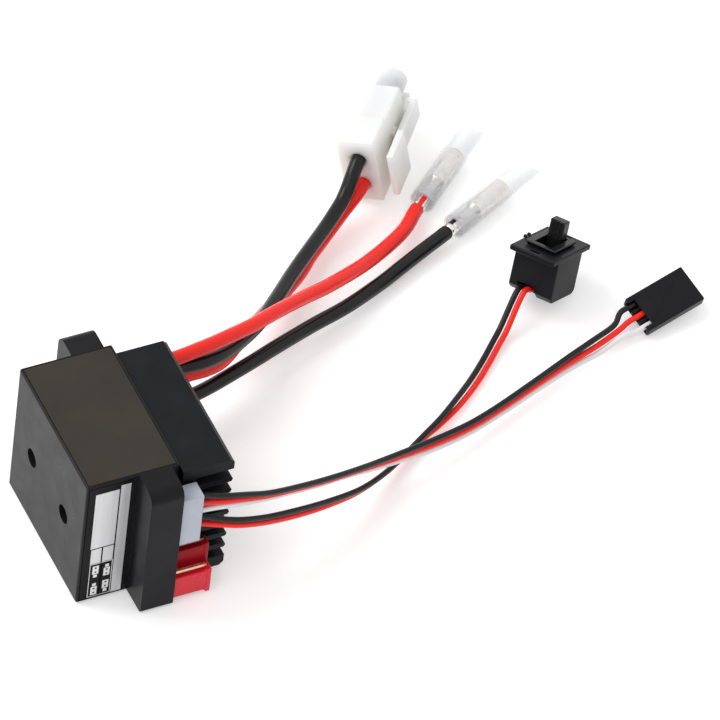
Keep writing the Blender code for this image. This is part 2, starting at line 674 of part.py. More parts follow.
def make_signal_end_resin():
    """Resin round the signal socket and the two jumper headers."""
    bm = bmesh.new()
    box(bm, (X_POTTING_BACK, BOARD_Y_LOW, BOARD_Z_LOW),
        (X_POTTING_FRONT, Y_NEAR - MOUTH_LIP - CLEAR, BOARD_Z_HIGH))
    # a tongue under the neck joins the strips between the connectors
    resin = piece("signal_end_resin", bm, RESIN)
    bm = bmesh.new()
    box(bm, (X_POTTING_BACK, Y_NEAR - MOUTH_LIP - OVERCUT, BOARD_Z_LOW + CLEAR),
        (X_POTTING_FRONT - CLEAR, Y_NEAR + CASE_WALL - CLEAR, BOARD_Z_HIGH - CLEAR))
    fuse(resin, bm)
    bm = bmesh.new()
    half = SIGNAL_LENGTH / 2 + CLEAR
    box(bm, (X_POTTING_BACK - OVERCUT, BOARD_Y_LOW - OVERCUT, SIGNAL_CENTRE_Z - half),
        (X_POTTING_FRONT + OVERCUT, SOCKET_Y_HIGH + CLEAR, SIGNAL_CENTRE_Z + half))
    cut(resin, bm)
    for _, y, pins, _ in HEADERS:
        bm = bmesh.new()
        low = y - HEADER_THICK / 2 - CLEAR
        if y == FRONT_HEADER_Y:
            low = BOARD_Y_LOW - OVERCUT
        box(bm, (X_POTTING_BACK - OVERCUT, low, pins[0] - HEADER_END - CLEAR),
            (X_POTTING_FRONT + OVERCUT, y + HEADER_THICK / 2 + CLEAR, pins[-1] + HEADER_END + CLEAR))
        cut(resin, bm)


def make_signal_socket():
    """White shroud on the board, with its pins moulded in."""
    half_y, half_z = SIGNAL_THICK / 2, SIGNAL_LENGTH / 2
    bm = bmesh.new()
    box(bm, (X_SOCKET_BACK, SOCKET_Y - half_y, SIGNAL_CENTRE_Z - half_z),
        (X_SOCKET_TOP, SOCKET_Y + half_y, SIGNAL_CENTRE_Z + half_z))
    socket = piece("signal_socket", bm, WHITE_PLASTIC)
    bm = bmesh.new()
    inner_y, inner_z = half_y - SOCKET_WALL, half_z - SOCKET_WALL
    box(bm, (X_SOCKET_BACK + SOCKET_FLOOR, SOCKET_Y - inner_y, SIGNAL_CENTRE_Z - inner_z),
        (X_SOCKET_TOP + OVERCUT, SOCKET_Y + inner_y, SIGNAL_CENTRE_Z + inner_z))
    cut(socket, bm)
    bm = bmesh.new()
    pin_start = X_BOARD_BACK - BOARD_TAIL
    for z in signal_pin_heights():
        span(bm, "X", (pin_start, SOCKET_Y, z), X_SIGNAL_PIN_END - pin_start, SIGNAL_PIN_RADIUS, 8)
    fuse(socket, bm)


def make_signal_plug():
    """White plug: its nose fills the shroud and takes the pins, its head stands above the shroud."""
    half_y, half_z = SIGNAL_THICK / 2, SIGNAL_LENGTH / 2
    bm = bmesh.new()
    box(bm, (X_PLUG_BACK, SOCKET_Y - half_y, SIGNAL_CENTRE_Z - half_z),
        (X_PLUG_TOP, SOCKET_Y + half_y, SIGNAL_CENTRE_Z + half_z), FINE_EDGE)
    plug = piece("signal_plug", bm, WHITE_PLASTIC)
    bm = bmesh.new()
    nose_back = X_SOCKET_BACK + SOCKET_FLOOR + CLEAR
    nose_y, nose_z = half_y - SOCKET_WALL - CLEAR, half_z - SOCKET_WALL - CLEAR
    box(bm, (nose_back, SOCKET_Y - nose_y, SIGNAL_CENTRE_Z - nose_z),
        (X_PLUG_BACK + PLUG_HEAD / 2, SOCKET_Y + nose_y, SIGNAL_CENTRE_Z + nose_z))
    fuse(plug, bm)
    bm = bmesh.new()
    for z in signal_pin_heights():
        span(bm, "X", (nose_back - OVERCUT, SOCKET_Y, z), X_SIGNAL_PIN_END + CLEAR - nose_back + OVERCUT,
             SIGNAL_PIN_RADIUS + CLEAR, 10)
        span(bm, "X", (X_WIRE_SEAT, SOCKET_Y, z), X_PLUG_TOP - X_WIRE_SEAT + OVERCUT,
             SIGNAL_WIRE / 2 + CLEAR, 12)
    cut(plug, bm)


def make_header(name, y, pins):
    bm = bmesh.new()
    half_y = HEADER_THICK / 2
    box(bm, (X_HEADER_BACK, y - half_y, pins[0] - HEADER_END),
        (X_HEADER_TOP, y + half_y, pins[-1] + HEADER_END))
    base = piece(name + "_header", bm, BLACK_PLASTIC)
    bm = bmesh.new()
    hole = HEADER_PIN / 2 + CLEAR
    for z in pins:
        box(bm, (X_HEADER_BACK - OVERCUT, y - hole, z - hole), (X_HEADER_TOP + OVERCUT, y + hole, z + hole))
    cut(base, bm)

    half = HEADER_PIN / 2
    for number, z in enumerate(pins, 1):
        bm = bmesh.new()
        box(bm, (X_BOARD_BACK - BOARD_TAIL, y - half, z - half),
            (X_HEADER_TOP + HEADER_PIN_LENGTH, y + half, z + half))
        piece(f"{name}_header_pin_{number}", bm, TINNED_BRASS)


def make_jumper(name, y, pins):
    """A red cap over two pins, with the metal clip that joins them."""
    z = sum(pins) / 2
    frame = frame_empty(name + "_jumper_frame", (X_HEADER_TOP + CLEAR, y, z))
    half_y, half_z = CAP_THICK / 2, CAP_WIDTH / 2

    bm = bmesh.new()
    box(bm, (0.0, -half_y, -half_z), (CAP_LENGTH - CAP_LIP_LENGTH / 2, half_y, half_z), FINE_EDGE)
    cap = piece(name + "_jumper_cap", bm, RED_PLASTIC, frame)
    bm = bmesh.new()
    box(bm, (CAP_LENGTH - CAP_LIP_LENGTH, -half_y, -half_z - CAP_LIP),
        (CAP_LENGTH, half_y, half_z + CAP_LIP), PLAIN_EDGE)
    fuse(cap, bm)
    bm = bmesh.new()
    slot_z = HEADER_PITCH / 2 + HEADER_PIN / 2 + CLEAR
    box(bm, (-OVERCUT, -CAP_SLOT / 2, -slot_z), (CAP_LENGTH - CAP_END_WALL, CAP_SLOT / 2, slot_z))
    cut(cap, bm)

    bm = bmesh.new()
    clip_end = CAP_LENGTH - CAP_END_WALL - CLEAR
    box(bm, (CLIP_START, -CLIP_THICK / 2, -CLIP_WIDTH / 2), (clip_end, CLIP_THICK / 2, CLIP_WIDTH / 2))
    piece(name + "_jumper_clip", bm, TINNED_BRASS, frame)


# ---------------------------------------------------------------- battery plug

def battery_wire_heights():
    return {"black": BATTERY_PITCH / 2, "red": -BATTERY_PITCH / 2}


def make_battery_plug():
    """Two-way plug on edge: +X is the way it mates, the latch is on its -Y side."""
    frame = frame_empty("battery_plug_frame", POWER_ANCHOR + BATTERY_PLUG_REACH,
                        BATTERY_PLUG_HEADING, 0.0, BATTERY_PLUG_ROLL)
    half_y, half_z = BATTERY_THICK / 2, BATTERY_WIDTH / 2
    tube = BATTERY_BORE_RADIUS + BATTERY_TUBE_WALL
    length = BATTERY_BLOCK + BATTERY_TIP

    bm = bmesh.new()
    box(bm, (0.0, -half_y, -half_z), (BATTERY_BLOCK, half_y, half_z), BATTERY_EDGE, 2)
    housing = piece("battery_plug_housing", bm, NYLON, frame)
    bm = bmesh.new()
    box(bm, (COLLAR_INSET, -half_y + COLLAR_INSET, -half_z - BATTERY_COLLAR_STEP),
        (BATTERY_COLLAR, half_y + BATTERY_COLLAR_STEP, half_z + BATTERY_COLLAR_STEP), BATTERY_EDGE, 2)
    fuse(housing, bm)
    bm = bmesh.new()
    box(bm, (LATCH_PIVOT_X - LATCH_PIVOT_LENGTH / 2, -half_y - LATCH_PIVOT_HEIGHT, -LATCH_ARM_WIDTH / 2),
        (LATCH_PIVOT_X + LATCH_PIVOT_LENGTH / 2, 0.0, LATCH_ARM_WIDTH / 2))
    fuse(housing, bm)
    # one round and one square nose key the plug
    bm = bmesh.new()
    span(bm, "X", (BATTERY_BLOCK - OVERCUT, 0.0, BATTERY_PITCH / 2), BATTERY_TIP + OVERCUT, tube, 24)
    fuse(housing, bm)
    bm = bmesh.new()
    box(bm, (BATTERY_BLOCK - OVERCUT, -tube, -BATTERY_PITCH / 2 - tube),
        (length, tube, -BATTERY_PITCH / 2 + tube), NOSE_EDGE)
    fuse(housing, bm)
    bm = bmesh.new()
    for z in battery_wire_heights().values():
        span(bm, "X", (BATTERY_BACK_BORE, 0.0, z), length, BATTERY_BORE_RADIUS, 24)
    cut(housing, bm)
    bm = bmesh.new()
    for z in battery_wire_heights().values():
        span(bm, "X", (-OVERCUT, 0.0, z), BATTERY_BACK_BORE + 2 * OVERCUT, POWER_WIRE / 2 + CLEAR, 20)
    cut(housing, bm)

    contact_outer = BATTERY_BORE_RADIUS - CLEAR
    contact_inner = contact_outer - BATTERY_CONTACT_WALL
    contact_start = BATTERY_BACK_BORE + CLEAR
    contact_end = length - BATTERY_CONTACT_INSET
    for colour, z in battery_wire_heights().items():
        bm = bmesh.new()
        span(bm, "X", (contact_start, 0.0, z), contact_end - contact_start, contact_outer, 20)
        contact = piece(f"battery_plug_contact_{colour}", bm, TINNED_BRASS, frame)
        bm = bmesh.new()
        span(bm, "X", (contact_start + BATTERY_CRIMP, 0.0, z), length, contact_inner, 20)
        cut(contact, bm)

    pivot_y = -half_y - LATCH_PIVOT_HEIGHT - CLEAR
    pivot = frame_empty("battery_latch_pivot", (LATCH_PIVOT_X, pivot_y, 0.0), parent=frame)
    arm_back = LATCH_TAB_LENGTH - LATCH_PIVOT_X - LATCH_ROOT
    arm_front = arm_back + LATCH_ARM_LENGTH
    bm = bmesh.new()
    box(bm, (arm_back, -LATCH_THICK, -LATCH_ARM_WIDTH / 2),
        (arm_front, 0.0, LATCH_ARM_WIDTH / 2), PLAIN_EDGE)
    latch = piece("battery_plug_latch", bm, NYLON, pivot)
    bm = bmesh.new()
    tab_inner = -half_y - LATCH_TAB_STANDOFF - pivot_y
    box(bm, (-LATCH_PIVOT_X - CLEAR, tab_inner - LATCH_THICK, -LATCH_TAB_WIDTH / 2),
        (LATCH_TAB_LENGTH - LATCH_PIVOT_X, tab_inner, LATCH_TAB_WIDTH / 2), NOSE_EDGE, 2)
    fuse(latch, bm)
    bm = bmesh.new()
    hook_half = LATCH_ARM_WIDTH / 2 - LATCH_HOOK_INSET
    box(bm, (arm_front - LATCH_HOOK, -LATCH_THICK / 2, -hook_half),
        (arm_front - LATCH_HOOK_INSET, LATCH_PIVOT_HEIGHT, hook_half))
    fuse(latch, bm)


# ---------------------------------------------------------------- motor sockets

def make_motor_socket(colour, reach, heading):
    """A bullet socket whose crimp holds the lead, inside a clear sleeve. +X is the way it mates."""
    frame = frame_empty(f"motor_socket_{colour}_frame", POWER_ANCHOR + reach, heading)
    barrel_start = CRIMP_LENGTH + BARREL_TAPER
    barrel_end = barrel_start + BARREL_LENGTH
    profile = [
        (CLEAR, SOCKET_CORE), (CLEAR, CRIMP_RADIUS), (CRIMP_LENGTH, CRIMP_RADIUS),
        (barrel_start, BARREL_RADIUS), (barrel_end, BARREL_RADIUS), (barrel_end, BARREL_BORE),
        (barrel_end - BARREL_DEPTH, BARREL_BORE), (barrel_end - BARREL_DEPTH, SOCKET_CORE),
    ]
    turned(f"motor_socket_{colour}", profile, TINNED_BRASS, frame)

    inner_wide = BARREL_RADIUS + CLEAR
    skirt_start = barrel_end + SLEEVE_STEP
    skirt_end = barrel_end + SLEEVE_SKIRT
    inner = [
        (SLEEVE_START, inner_wide), (barrel_end, inner_wide),
        (skirt_start, inner_wide - SKIRT_TAPER), (skirt_end, inner_wide - SKIRT_TAPER),
    ]
    outer = [(along, radius + SLEEVE_WALL) for along, radius in reversed(inner)]
    turned(f"clear_sleeve_{colour}", inner + outer, CLEAR_PVC, frame)


# ---------------------------------------------------------------- power switch

def make_switch():
    """Slide switch in a holder: its lever slides along Y and stands up along Z."""
    frame = frame_empty("switch_frame", SIGNAL_ANCHOR + SWITCH_REACH,
                        SWITCH_HEADING, SWITCH_PITCH, SWITCH_ROLL)
    window_x = SWITCH_BODY_WIDTH / 2 + CLEAR
    window_y = SWITCH_BODY_LENGTH / 2 + CLEAR

    bm = bmesh.new()
    box(bm, (-FLANGE_WIDTH / 2, -FLANGE_LENGTH / 2, -FLANGE_THICK),
        (FLANGE_WIDTH / 2, FLANGE_LENGTH / 2, 0.0), PLAIN_EDGE)
    holder = piece("switch_holder", bm, BLACK_PLASTIC, frame)
    bm = bmesh.new()
    box(bm, (-HOLDER_WIDTH / 2, -HOLDER_LENGTH / 2, -HOLDER_DEPTH),
        (HOLDER_WIDTH / 2, HOLDER_LENGTH / 2, -FLANGE_THICK / 2), HOLDER_EDGE, 2)
    fuse(holder, bm)
    for side in (-1, 1):
        bm = bmesh.new()
        prism(bm, HOLDER_WIDTH / 2 + OVERCUT, (
            (side * (HOLDER_LENGTH / 2 - HOLDER_CHAMFER - OVERCUT), -HOLDER_DEPTH - OVERCUT),
            (side * (HOLDER_LENGTH / 2 + OVERCUT), -HOLDER_DEPTH - OVERCUT),
            (side * (HOLDER_LENGTH / 2 + OVERCUT), -HOLDER_DEPTH + HOLDER_CHAMFER + OVERCUT)))
        cut(holder, bm)
    bm = bmesh.new()
    box(bm, (-window_x, -window_y, -HOLDER_DEPTH + HOLDER_WALL), (window_x, window_y, OVERCUT))
    cut(holder, bm)
    bm = bmesh.new()
    notch_top = -HOLDER_DEPTH + CABLE_NOTCH_HEIGHT
    notch_low = CABLE_NOTCH_SHIFT - CABLE_NOTCH_WIDTH / 2
    box(bm, (notch_low, -HOLDER_LENGTH / 2 - OVERCUT, -HOLDER_DEPTH - OVERCUT),
        (notch_low + CABLE_NOTCH_WIDTH, -HOLDER_LENGTH / 2 + CABLE_NOTCH_DEPTH, notch_top))
    cut(holder, bm)
    slot_y = (HOLDER_LENGTH + FLANGE_LENGTH) / 4
    bm = bmesh.new()
    for side in (-1, 1):
        y = side * slot_y
        box(bm, (-FLANGE_SLOT_WIDTH / 2, y - FLANGE_SLOT_LENGTH / 2, -FLANGE_THICK - OVERCUT),
            (FLANGE_SLOT_WIDTH / 2, y + FLANGE_SLOT_LENGTH / 2, OVERCUT))
    cut(holder, bm)

    body_low = -SWITCH_BODY_DEPTH
    bezel_x, bezel_y = window_x + BEZEL_RIM, window_y + BEZEL_RIM
    bm = bmesh.new()
    box(bm, (-bezel_x, -bezel_y, CLEAR), (bezel_x, bezel_y, CLEAR + BEZEL_THICK), FINE_EDGE)
    body = piece("switch_body", bm, SWITCH_BLACK, frame)
    bm = bmesh.new()
    box(bm, (-SWITCH_BODY_WIDTH / 2, -SWITCH_BODY_LENGTH / 2, body_low),
        (SWITCH_BODY_WIDTH / 2, SWITCH_BODY_LENGTH / 2, CLEAR + BEZEL_THICK / 2))
    fuse(body, bm)
    bm = bmesh.new()
    half_x = LEVER_WIDTH / 2 + CLEAR
    half_y = (LEVER_LENGTH + LEVER_TRAVEL) / 2 + CLEAR
    box(bm, (-half_x, -half_y, -LEVER_FOOT - CLEAR), (half_x, half_y, CLEAR + BEZEL_THICK + OVERCUT))
    cut(body, bm)
    bm = bmesh.new()
    for terminal in range(TERMINALS):
        y = (terminal - (TERMINALS - 1) / 2) * TERMINAL_PITCH
        box(bm, (-TERMINAL_SIZE / 2, y - TERMINAL_SIZE / 2, body_low - TERMINAL_LENGTH),
            (TERMINAL_SIZE / 2, y + TERMINAL_SIZE / 2, body_low + TERMINAL_SIZE))
    fuse(body, bm)

    slide = frame_empty("switch_lever_slide", (0.0, LEVER_TRAVEL / 2, 0.0), parent=frame)
    bm = bmesh.new()
    box(bm, (-LEVER_WIDTH / 2, -LEVER_LENGTH / 2, -LEVER_FOOT),
        (LEVER_WIDTH / 2, LEVER_LENGTH / 2, LEVER_HEIGHT), FINE_EDGE)
    lever = piece("switch_lever", bm, SWITCH_BLACK, slide)
    bm = bmesh.new()
    groove_pitch = LEVER_WIDTH / LEVER_RIBS
    for groove in range(LEVER_RIBS):
        x = (groove - (LEVER_RIBS - 1) / 2) * groove_pitch
        for side in (-1, 1):
            y = side * LEVER_LENGTH / 2
            box(bm, (x - LEVER_RIB / 2, y - LEVER_RIB / 2, 2 * CLEAR + BEZEL_THICK),
                (x + LEVER_RIB / 2, y + LEVER_RIB / 2, LEVER_HEIGHT + OVERCUT))
    cut(lever, bm)


# ---------------------------------------------------------------- receiver plug

def make_receiver_plug():
    """Three-way plug: +X is its mouth, and the leads enter its other end."""
    frame = frame_empty("receiver_plug_frame", SIGNAL_ANCHOR + RECEIVER_PLUG_REACH,
                        RECEIVER_PLUG_HEADING, RECEIVER_PLUG_PITCH, RECEIVER_PLUG_ROLL)
    half_x, half_y, half_z = RECEIVER_LENGTH / 2, RECEIVER_WIDTH / 2, RECEIVER_THICK / 2
    channel = RECEIVER_CHANNEL / 2
    bm = bmesh.new()
    box(bm, (-half_x, -half_y, -half_z), (half_x, half_y, half_z), PLAIN_EDGE)
    housing = piece("receiver_plug_housing", bm, BLACK_PLASTIC, frame)
    bm = bmesh.new()
    for side in (-1, 0, 1):
        y = side * HEADER_PITCH
        box(bm, (-half_x - OVERCUT, y - channel, -channel), (half_x + OVERCUT, y + channel, channel))
    cut(housing, bm)
    bm = bmesh.new()
    box(bm, (-half_x - OVERCUT, -HEADER_PITCH - channel / 2, 0.0),
        (-half_x + RECEIVER_NOTCH, HEADER_PITCH + channel / 2, half_z + OVERCUT))
    cut(housing, bm)

    half = RECEIVER_CONTACT / 2
    front = half_x - RECEIVER_MOUTH
    for side, colour in ((1, "black"), (0, "red"), (-1, "white")):
        y = side * HEADER_PITCH
        bm = bmesh.new()
        box(bm, (front - RECEIVER_CONTACT_LENGTH, y - half, -half), (front, y + half, half))
        piece(f"receiver_plug_contact_{colour}", bm, TINNED_BRASS, frame)


# ---------------------------------------------------------------- leads

def smooth_path(route, spacing):
    """Points at about one spacing along a smooth curve through the route's points."""
    ends = [route[0] * 2 - route[1], *route, route[-1] * 2 - route[-2]]
    fine = []
    for a, b, c, d in zip(ends, ends[1:], ends[2:], ends[3:]):
        for step in range(24):
            t = step / 24
            fine.append(0.5 * (2 * b + (c - a) * t + (2 * a - 5 * b + 4 * c - d) * t ** 2
                               + (3 * b - a - 3 * c + d) * t ** 3))
    fine.append(route[-1])
    lengths = [0.0]
    for first, second in zip(fine, fine[1:]):
        lengths.append(lengths[-1] + (second - first).length)
    count = max(2, round(lengths[-1] / spacing))
    points = []
    index = 0
    for step in range(count + 1):
        target = lengths[-1] * step / count
        while index < len(fine) - 2 and lengths[index + 1] < target:
            index += 1
        share = (target - lengths[index]) / (lengths[index + 1] - lengths[index])
        points.append(fine[index].lerp(fine[index + 1], min(max(share, 0.0), 1.0)))
    return points


def make_lead(name, route, diameter, mat):
    points = smooth_path(route, diameter * LEAD_SPACING)
    data = bpy.data.curves.new(name, "CURVE")
    data.dimensions = "3D"
    data.bevel_depth = diameter / 2
    data.bevel_resolution = 2
    data.resolution_u = 1
    data.use_fill_caps = True
    spline = data.splines.new("POLY")
    spline.points.add(len(points) - 1)
    for slot, point in zip(spline.points, points):
        slot.co = (*point, 1.0)
    data.materials.append(mat)
    PARTS.objects.link(bpy.data.objects.new(name, data))


def power_route(*points):
    """Waypoints given in millimetres from the power end's anchor."""
    return [POWER_ANCHOR + Vector(point) * MM for point in points]


def ribbon_routes(waypoints, count):
    """Side-by-side routes: the first lead's waypoints also say which way the others lie from it.

    A turn of 0 degrees puts them straight below it, and 90 degrees to its right.
    """
    places = [SIGNAL_ANCHOR + Vector(waypoint[:3]) * MM for waypoint in waypoints]
    routes = [[] for _ in range(count)]
    for index, place in enumerate(places):
        along = (places[min(index + 1, len(places) - 1)] - places[max(index - 1, 0)]).normalized()
        right = Vector((along.y, -along.x, 0.0)).normalized()
        down = along.cross(right)
        turn = math.radians(waypoints[index][3])
        step = (right * math.sin(turn) + down * math.cos(turn)) * RIBBON_PITCH
        for wire in range(count):
            routes[wire].append(place + step * wire)
    return routes


# Waypoints in millimetres from the signal end's anchor, with the ribbon's turn in degrees
RECEIVER_ROUTE = (
    (5.5, 0.0, 24.6, 0), (10.1, 0.4, 22.8, -10), (16.0, 1.3, 20.2, -25), (23.5, 3.3, 17.2, -30),
    (31.3, 5.7, 14.2, -30), (39.1, 8.3, 11.4, -30), (45.8, 10.8, 9.0, -20), (52.3, 12.8, 7.4, -10),
    (59.8, 15.0, 5.9, 0), (67.6, 17.3, 4.8, 0), (75.5, 20.3, 4.1, 0), (86.1, 24.6, 3.8, 5),
    (93.9, 27.8, 3.7, 15), (100.9, 30.6, 3.5, 42), (106.4, 33.1, 3.1, 70))
SWITCH_ROUTE = (
    (5.6, -0.8, 18.6, 0), (10.0, -0.9, 17.0, 0), (16.1, 0.3, 14.4, 0), (23.7, 2.4, 11.4, 0),
    (31.4, 4.9, 8.4, -10), (39.5, 7.9, 5.6, -25), (46.8, 11.8, 3.6, -30), (53.0, 15.8, 2.6, -20),
    (59.0, 19.6, 2.3, -10), (63.6, 22.4, 2.3, 10), (68.6, 26.2, 1.9, 45), (73.9, 30.6, 1.3, 70),
    (78.4, 34.7, 1.0, 85), (82.2, 38.3, 1.3, 90), (85.2, 41.0, 2.1, 90))


def make_signal_leads():
    pins = signal_pin_heights()
    inner_x = X_WIRE_SEAT + CLEAR
    receiver = (("black", WIRE_BLACK), ("red", WIRE_RED), ("white", WIRE_WHITE))
    plug_frame = bpy.data.objects["receiver_plug_frame"].matrix_world
    routes = ribbon_routes(RECEIVER_ROUTE, 3)
    for wire, (colour, mat) in enumerate(receiver):
        start = [Vector((x, SOCKET_Y, pins[wire])) for x in (inner_x, X_PLUG_TOP + LEAD_STRAIGHT)]
        side = (1 - wire) * HEADER_PITCH
        back = -RECEIVER_LENGTH / 2
        front = -back - RECEIVER_MOUTH - RECEIVER_CONTACT_LENGTH - CLEAR
        places = (back - 2 * LEAD_STRAIGHT, back + LEAD_STRAIGHT, front)
        entry = [plug_frame @ Vector((along, side, 0.0)) for along in places]
        make_lead(f"receiver_lead_{colour}", start + routes[wire] + entry, SIGNAL_WIRE, mat)

    switch_frame = bpy.data.objects["switch_frame"].matrix_world
    routes = ribbon_routes(SWITCH_ROUTE, 2)
    notch_z = -HOLDER_DEPTH + CABLE_NOTCH_HEIGHT / 2
    for wire, (colour, mat) in enumerate(receiver[:2]):
        pin = wire + 3
        start = [Vector((x, SOCKET_Y, pins[pin])) for x in (inner_x, X_PLUG_TOP + LEAD_STRAIGHT)]
        side = CABLE_NOTCH_SHIFT + (wire - 0.5) * RIBBON_PITCH
        entry = [switch_frame @ Vector((side, -HOLDER_LENGTH / 2 - 2 * LEAD_STRAIGHT, notch_z)),
                 switch_frame @ Vector((side, -HOLDER_LENGTH / 2 + HOLDER_WALL + CLEAR, notch_z))]
        make_lead(f"switch_lead_{colour}", start + routes[wire] + entry, SIGNAL_WIRE, mat)


POWER_LEADS = (
    ("motor_lead_black", 0, "black", power_route(
        (5.5, 0.0, 7.0), (14.1, -0.4, 7.4), (23.3, 0.5, 7.3), (35.6, 4.8, 6.3), (44.6, 8.5, 5.3),
        (53.9, 12.4, 3.9), (62.8, 15.6, 2.9), (72.0, 19.5, 2.4), (77.4, 22.0, 2.4), (83.1, 24.6, 2.5))),
    ("battery_lead_red", 1, "red", power_route(
        (5.5, 0.0, 12.5), (14.5, 0.4, 13.0), (21.3, 1.4, 12.6), (26.6, 2.5, 11.4), (30.9, 4.8, 10.2),
        (37.9, 10.9, 7.8), (46.9, 18.3, 5.0), (57.1, 26.7, 2.6), (61.8, 31.2, 2.1), (66.9, 35.2, 2.3),
        (71.9, 38.7, 3.4))),
    ("battery_lead_black", 2, "black", power_route(
        (5.5, 0.0, 17.8), (14.4, -0.4, 18.1), (23.4, -0.4, 17.2), (30.9, 2.9, 14.9), (40.3, 9.9, 11.6),
        (47.4, 16.8, 9.3), (55.4, 24.7, 7.4), (65.2, 33.2, 6.4), (69.1, 36.4, 6.8), (72.5, 39.3, 7.8))),
    ("motor_lead_red", 3, "red", power_route(
        (5.5, -0.2, 22.9), (14.5, -1.2, 21.6), (23.0, 0.1, 20.9), (29.8, 2.2, 19.7), (36.3, 4.6, 18.3),
        (43.9, 8.5, 15.9), (51.4, 12.5, 12.9), (58.9, 16.2, 10.1), (70.4, 22.9, 5.8), (81.2, 29.9, 3.4))),
)


def make_power_leads():
    ends = {}
    for colour, reach, heading in MOTOR_SOCKETS:
        toward = Vector((math.cos(heading), math.sin(heading), 0.0))
        end = POWER_ANCHOR + reach
        ends["motor_lead_" + colour] = (end, end - toward * LEAD_STRAIGHT)
    battery = bpy.data.objects["battery_plug_frame"].matrix_world
    for colour, height in battery_wire_heights().items():
        inside = battery @ Vector((BATTERY_BACK_BORE, 0.0, height))
        outside = battery @ Vector((-LEAD_STRAIGHT, 0.0, height))
        ends["battery_lead_" + colour] = (inside, outside)
    materials = {"black": WIRE_BLACK, "red": WIRE_RED}
    for name, exit_number, colour, route in POWER_LEADS:
        z = POWER_EXIT_LOW_Z + exit_number * POWER_EXIT_PITCH
        start = [Vector((X_BOARD_FRONT + CLEAR, POWER_WIRE_Y, z)), Vector((X_EAR_FRONT, POWER_WIRE_Y, z))]
        inside, outside = ends[name]
        make_lead(name, start + route + [outside, inside], POWER_WIRE, materials[colour])


# ---------------------------------------------------------------- build

clear_scene()
PARTS = new_collection("brushed_speed_controller")
TOOLS = new_collection("boolean_tools")

BLACK_PLASTIC = material("black_plastic", (0.022, 0.022, 0.026), 0.42)
SWITCH_BLACK = material("switch_black", (0.018, 0.018, 0.020), 0.38)
BLACK_ALUMINIUM = material("black_aluminium", (0.016, 0.020, 0.024), 0.38, 0.6)
LABEL_FILM = material("label_film", (0.035, 0.027, 0.019), 0.35)
RESIN = material("sealing_resin", (0.012, 0.012, 0.013), 0.55)
BOARD_GREEN = material("board_green", (0.010, 0.10, 0.035), 0.45)
CHIP_BLACK = material("chip_black", (0.014, 0.014, 0.015), 0.5)
PAD_GREY = material("pad_grey", (0.30, 0.31, 0.33), 0.85)
CAPACITOR_SLEEVE = material("capacitor_sleeve", (0.015, 0.02, 0.05), 0.35)
WHITE_PLASTIC = material("white_plastic", (0.72, 0.73, 0.78), 0.42)
NYLON = material("natural_nylon", (0.86, 0.85, 0.79), 0.4)
RED_PLASTIC = material("red_plastic", (0.62, 0.012, 0.035), 0.38)
TINNED_BRASS = material("tinned_brass", (0.72, 0.70, 0.66), 0.25, 1.0)
STEEL = material("steel", (0.55, 0.56, 0.58), 0.3, 1.0)
CLEAR_PVC = material("clear_pvc", (0.92, 0.93, 0.96), 0.12, 0.0, 0.35)
WIRE_RED = material("wire_red", (0.78, 0.022, 0.012), 0.4)
WIRE_BLACK = material("wire_black", (0.012, 0.012, 0.013), 0.4)
WIRE_WHITE = material("wire_white", (0.80, 0.80, 0.82), 0.42)

make_case()
make_labels()
make_heat_sink()
make_board()
make_power_stage()
make_board_screws()
make_back_side_parts()
make_power_end()
make_signal_end_resin()
make_signal_socket()
make_signal_plug()
for header_name, header_y, header_pins, capped_pins in HEADERS:
    make_header(header_name, header_y, header_pins)
    make_jumper(header_name, header_y, capped_pins)
make_battery_plug()
for socket_colour, socket_reach, socket_heading in MOTOR_SOCKETS:
    make_motor_socket(socket_colour, socket_reach, socket_heading)
make_switch()
make_receiver_plug()
make_signal_leads()
make_power_leads()
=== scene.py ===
"""Looks of the brushed speed controller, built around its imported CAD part.

Blender's own lengths are in metres. Plug frames, lead routes and profiles are in millimetres, and
are multiplied by MM where they become points of a mesh or a curve.
"""
import json
import math

import bmesh
import bpy
from mathutils import Matrix, Vector


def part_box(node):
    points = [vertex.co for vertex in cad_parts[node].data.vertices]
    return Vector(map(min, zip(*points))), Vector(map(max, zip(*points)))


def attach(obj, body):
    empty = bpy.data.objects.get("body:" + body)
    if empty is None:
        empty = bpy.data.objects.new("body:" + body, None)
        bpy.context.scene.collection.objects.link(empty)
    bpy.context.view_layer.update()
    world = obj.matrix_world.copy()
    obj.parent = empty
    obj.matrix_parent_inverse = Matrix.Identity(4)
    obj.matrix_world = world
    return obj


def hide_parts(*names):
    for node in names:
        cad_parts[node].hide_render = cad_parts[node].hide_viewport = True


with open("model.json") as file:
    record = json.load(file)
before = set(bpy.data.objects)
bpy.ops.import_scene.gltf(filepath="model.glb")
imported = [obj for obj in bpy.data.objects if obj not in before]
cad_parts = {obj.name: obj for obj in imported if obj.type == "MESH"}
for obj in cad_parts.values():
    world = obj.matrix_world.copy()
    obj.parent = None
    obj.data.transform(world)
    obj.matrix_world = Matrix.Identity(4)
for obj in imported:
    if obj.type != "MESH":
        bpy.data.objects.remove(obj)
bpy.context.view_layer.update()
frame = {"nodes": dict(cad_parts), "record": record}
NODES = frame["nodes"]
MM = 0.001
BODY = "controller"


# ---------------------------------------------------------------- materials

